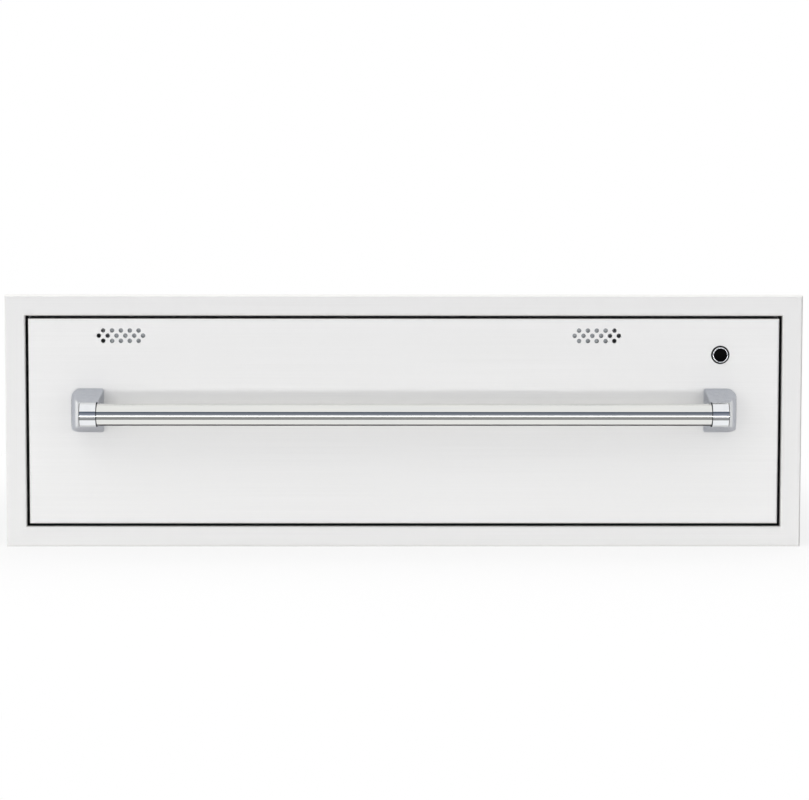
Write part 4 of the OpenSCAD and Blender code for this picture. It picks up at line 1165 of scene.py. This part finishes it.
@dataclass
class Seal:
    """Silicone seal round the mouth of the cavity, with a rounded bead."""

    width: float = 9.0 * MM
    corner: float = 15.0 * MM
    bead: float = 2.3 * MM

    def build(self) -> None:
        """Model the seal as one rounded ring and put it on the housing."""
        low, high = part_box("drawer_seal")
        size, middle = high - low, (low + high) / 2
        seal = begin("seal_bead", bpy.ops.mesh.primitive_plane_add, size=1, location=(middle.x, low.y, middle.z),
                     rotation=(math.pi / 2, 0, 0), scale=(size.x, size.z, 1))
        with editing(seal, Part.FACE):
            bpy.ops.mesh.select_all(action="SELECT")
            bpy.ops.mesh.bevel(offset=self.corner, segments=CORNER_STEPS, affect="VERTICES", clamp_overlap=False)
            bpy.ops.mesh.select_all(action="SELECT")
            bpy.ops.mesh.inset(thickness=self.width, depth=0)
            bpy.ops.mesh.delete(type="FACE")
        apply(seal, "SOLIDIFY", thickness=size.y, offset=-1.0)
        soften(seal, self.bead, segments=5, angle=60)
        smooth(seal, angle=30)
        install(seal, SILICONE, "housing", "silicone", "drawer_seal")


@dataclass
class Fasteners:
    """Pan-head screws with a cross recess, wherever screw heads show, and the flush screws and rivets."""

    head_radius: float = 4.0 * MM
    head_height: float = 2.4 * MM
    shank_radius: float = 1.7 * MM
    recess: Vector = Vector((4.3 * MM, 0.95 * MM, 1.3 * MM))
    shank_length: float = 4.0 * MM
    head_wall: float = 0.25
    dome_turn: float = 12.0
    dome_steps: int = 8
    sides: int = 48
    turn_step: float = 37.0

    def build(self) -> None:
        """Model one screw and copy it to every screw of the cover, the rear panel and the bin."""
        screw = self.screw()
        self.place(screw, "cover_screws", "housing", Vector((0, 0, 1)))
        self.place(screw, "rear_panel_screws", "housing", Vector((1, 0, 0)))
        self.place(screw, "bin_screws", "drawer", Vector((0, 1, 0)))
        bpy.data.objects.remove(screw, do_unlink=True)
        dress(SCREW_STEEL, "cabinet_rail_screws", "drawer_rail_rivets")

    def screw(self) -> Piece:
        """Model a screw along Y: its head's underside is at the origin and its head points to -Y.

        Returns:
            The screw, with a short shank.
        """
        wall = self.head_wall
        dome = [(self.head_radius * math.cos(a), -self.head_height * (wall + (1 - wall) * math.sin(a)))
                for a in (math.radians(self.dome_turn * i) for i in range(self.dome_steps))]
        steps = [(self.shank_radius, self.shank_length), (self.shank_radius, 0), (self.head_radius, 0), *dome]
        screw = turned("pan_screw", Vector((0, 0, 0)), steps, self.sides, False)
        for turn in (0, math.pi / 2):
            arm = block("recess_arm", -self.recess / 2, self.recess / 2)
            arm.matrix_world = (Matrix.Translation((0, -self.head_height, 0)) @ Matrix.Rotation(turn, 4, "Y")
                                @ Matrix.Rotation(math.pi / 2, 4, "X"))
            activate(arm)
            bpy.ops.object.transform_apply(location=True, rotation=True, scale=True)
            shape(screw, Shaping.CUT, arm)
        return screw

    def place(self, screw: Piece, node: str, body: str, way: Vector) -> None:
        """Copy the screw to each solid of a node.

        Args:
            screw: The modelled screw.
            node: Node with the plain screws.
            body: Body that carries them.
            way: Direction that the heads point in, turned round where a head is on the other side.
        """
        copies = []
        for i, (low, high) in enumerate(solids(node)):
            middle = (low + high) / 2
            head = way * (-1 if way.x and middle.x < 0 else 1)
            seat = middle + head * ((high - low).dot(way) / 2 - self.head_height)
            turn = Vector((0, -1, 0)).rotation_difference(head).to_matrix().to_4x4()
            spin = Matrix.Rotation(math.radians(self.turn_step * i), 4, "Y")
            copies.append(copied(screw, f"{node}_{i}", Matrix.Translation(seat) @ turn @ spin))
        heads = joined(node + "_crossed", copies)
        smooth(heads, angle=30)
        install(heads, SCREW_STEEL, body, "screw_steel", node)


@dataclass
class Gland:
    """Cable gland in the rear panel: a hexagon, a ribbed dome nut and an open bore for the cable."""

    hexagon: float = 6.0 * MM
    ribs: int = 18
    rib_depth: float = 0.5 * MM
    rib_facets: int = 4
    bore: float = 5.0 * MM
    sleeve: float = 9.0 * MM
    hexagon_ease: float = 0.5 * MM
    thread_ease: float = 0.4 * MM
    dome_round: float = 2.2 * MM
    overlap: float = 1.0 * MM
    sides: int = 64

    def build(self) -> None:
        """Model the gland and put it on the housing."""
        low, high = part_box("cable_gland")
        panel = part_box("rear_panel")[1].y
        middle = Vector(((low.x + high.x) / 2, panel, (low.z + high.z) / 2))
        across = (high.x - low.x) / 2
        body = rod("gland_hexagon", Axis.Y, middle + Vector((0, self.hexagon / 2, 0)), across, self.hexagon, 6)
        soften(body, self.hexagon_ease, segments=2, angle=40)
        thread = rod("gland_thread", Axis.Y, Vector((middle.x, (low.y + panel) / 2 + self.overlap, middle.z)),
                     self.sleeve, panel - low.y + 2 * self.overlap, self.sides)
        soften(thread, self.thread_ease, segments=2, angle=40)
        dome_low = panel + self.hexagon - self.overlap
        dome = rod("gland_dome", Axis.Y, Vector((middle.x, (dome_low + high.y) / 2, middle.z)), self.sleeve,
                   high.y - dome_low, self.rib_facets * self.ribs)
        with editing(dome, Part.EDGE):
            pick(dome, Part.EDGE, lambda at, way: at.y > high.y - NEAR)
            bpy.ops.mesh.bevel(offset=self.dome_round, segments=5, affect="EDGES", clamp_overlap=False)
        share = 1 - self.rib_depth / self.sleeve
        with editing(dome, Part.POINT):
            pick(dome, Part.POINT, lambda at, way: self.between_ribs(at - middle))
            bpy.ops.transform.resize(value=(share, 1, share), center_override=middle)
        for part in (thread, dome):
            shape(body, Shaping.UNITE, part)
        shape(body, Shaping.CUT, rod("gland_bore", Axis.Y, (low + high) / 2, self.bore, 2 * (high.y - low.y),
                                     self.sides))
        smooth(body, angle=30)
        install(body, NYLON, "housing", "gland_nylon", "cable_gland")
        dress(NYLON, "gland_locknut")

    def between_ribs(self, at: Vector) -> bool:
        """Whether a point of the dome nut, measured from its axis, is in one of the furrows between its ribs."""
        facet = round(math.atan2(at.x, at.z) / math.tau * self.rib_facets * self.ribs)
        return facet % self.rib_facets < self.rib_facets / 2


@dataclass
class Works:
    """Heating, wiring, slides and bin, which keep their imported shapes."""

    def dress(self) -> None:
        """Give the works their finishes."""
        dress(LINER_STEEL, "heat_reflector")
        dress(SHEATH, "heating_element")
        dress(BRACKET_STEEL, "element_supports", "temperature_probe")
        dress(CERAMIC, "element_bushings")
        dress(BRASS, "element_terminals")
        dress(PHENOLIC, "thermal_cutout")
        dress(THERMOPLASTIC, "terminal_block")
        dress(BIN_STEEL, "drawer_bin")
        for side in ("left", "right"):
            dress(ZINC_PLATE, *(f"{side}_{rail}_rail" for rail in ("cabinet", "middle", "drawer")))
            dress(CAGE_STEEL, f"{side}_outer_cage", f"{side}_inner_cage")
            dress(BALL_STEEL, f"{side}_outer_balls", f"{side}_inner_balls")


def main() -> None:
    """Build the studio and the drawer."""
    logging.basicConfig(level=logging.INFO, format="%(name)s: %(message)s")
    Studio().build()
    Housing().dress()
    DrawerFront().dress()
    Works().dress()
    Handle().build()
    PushButton().build()
    Seal().build()
    Fasteners().build()
    Gland().build()


if __name__ == "__main__":
    main()
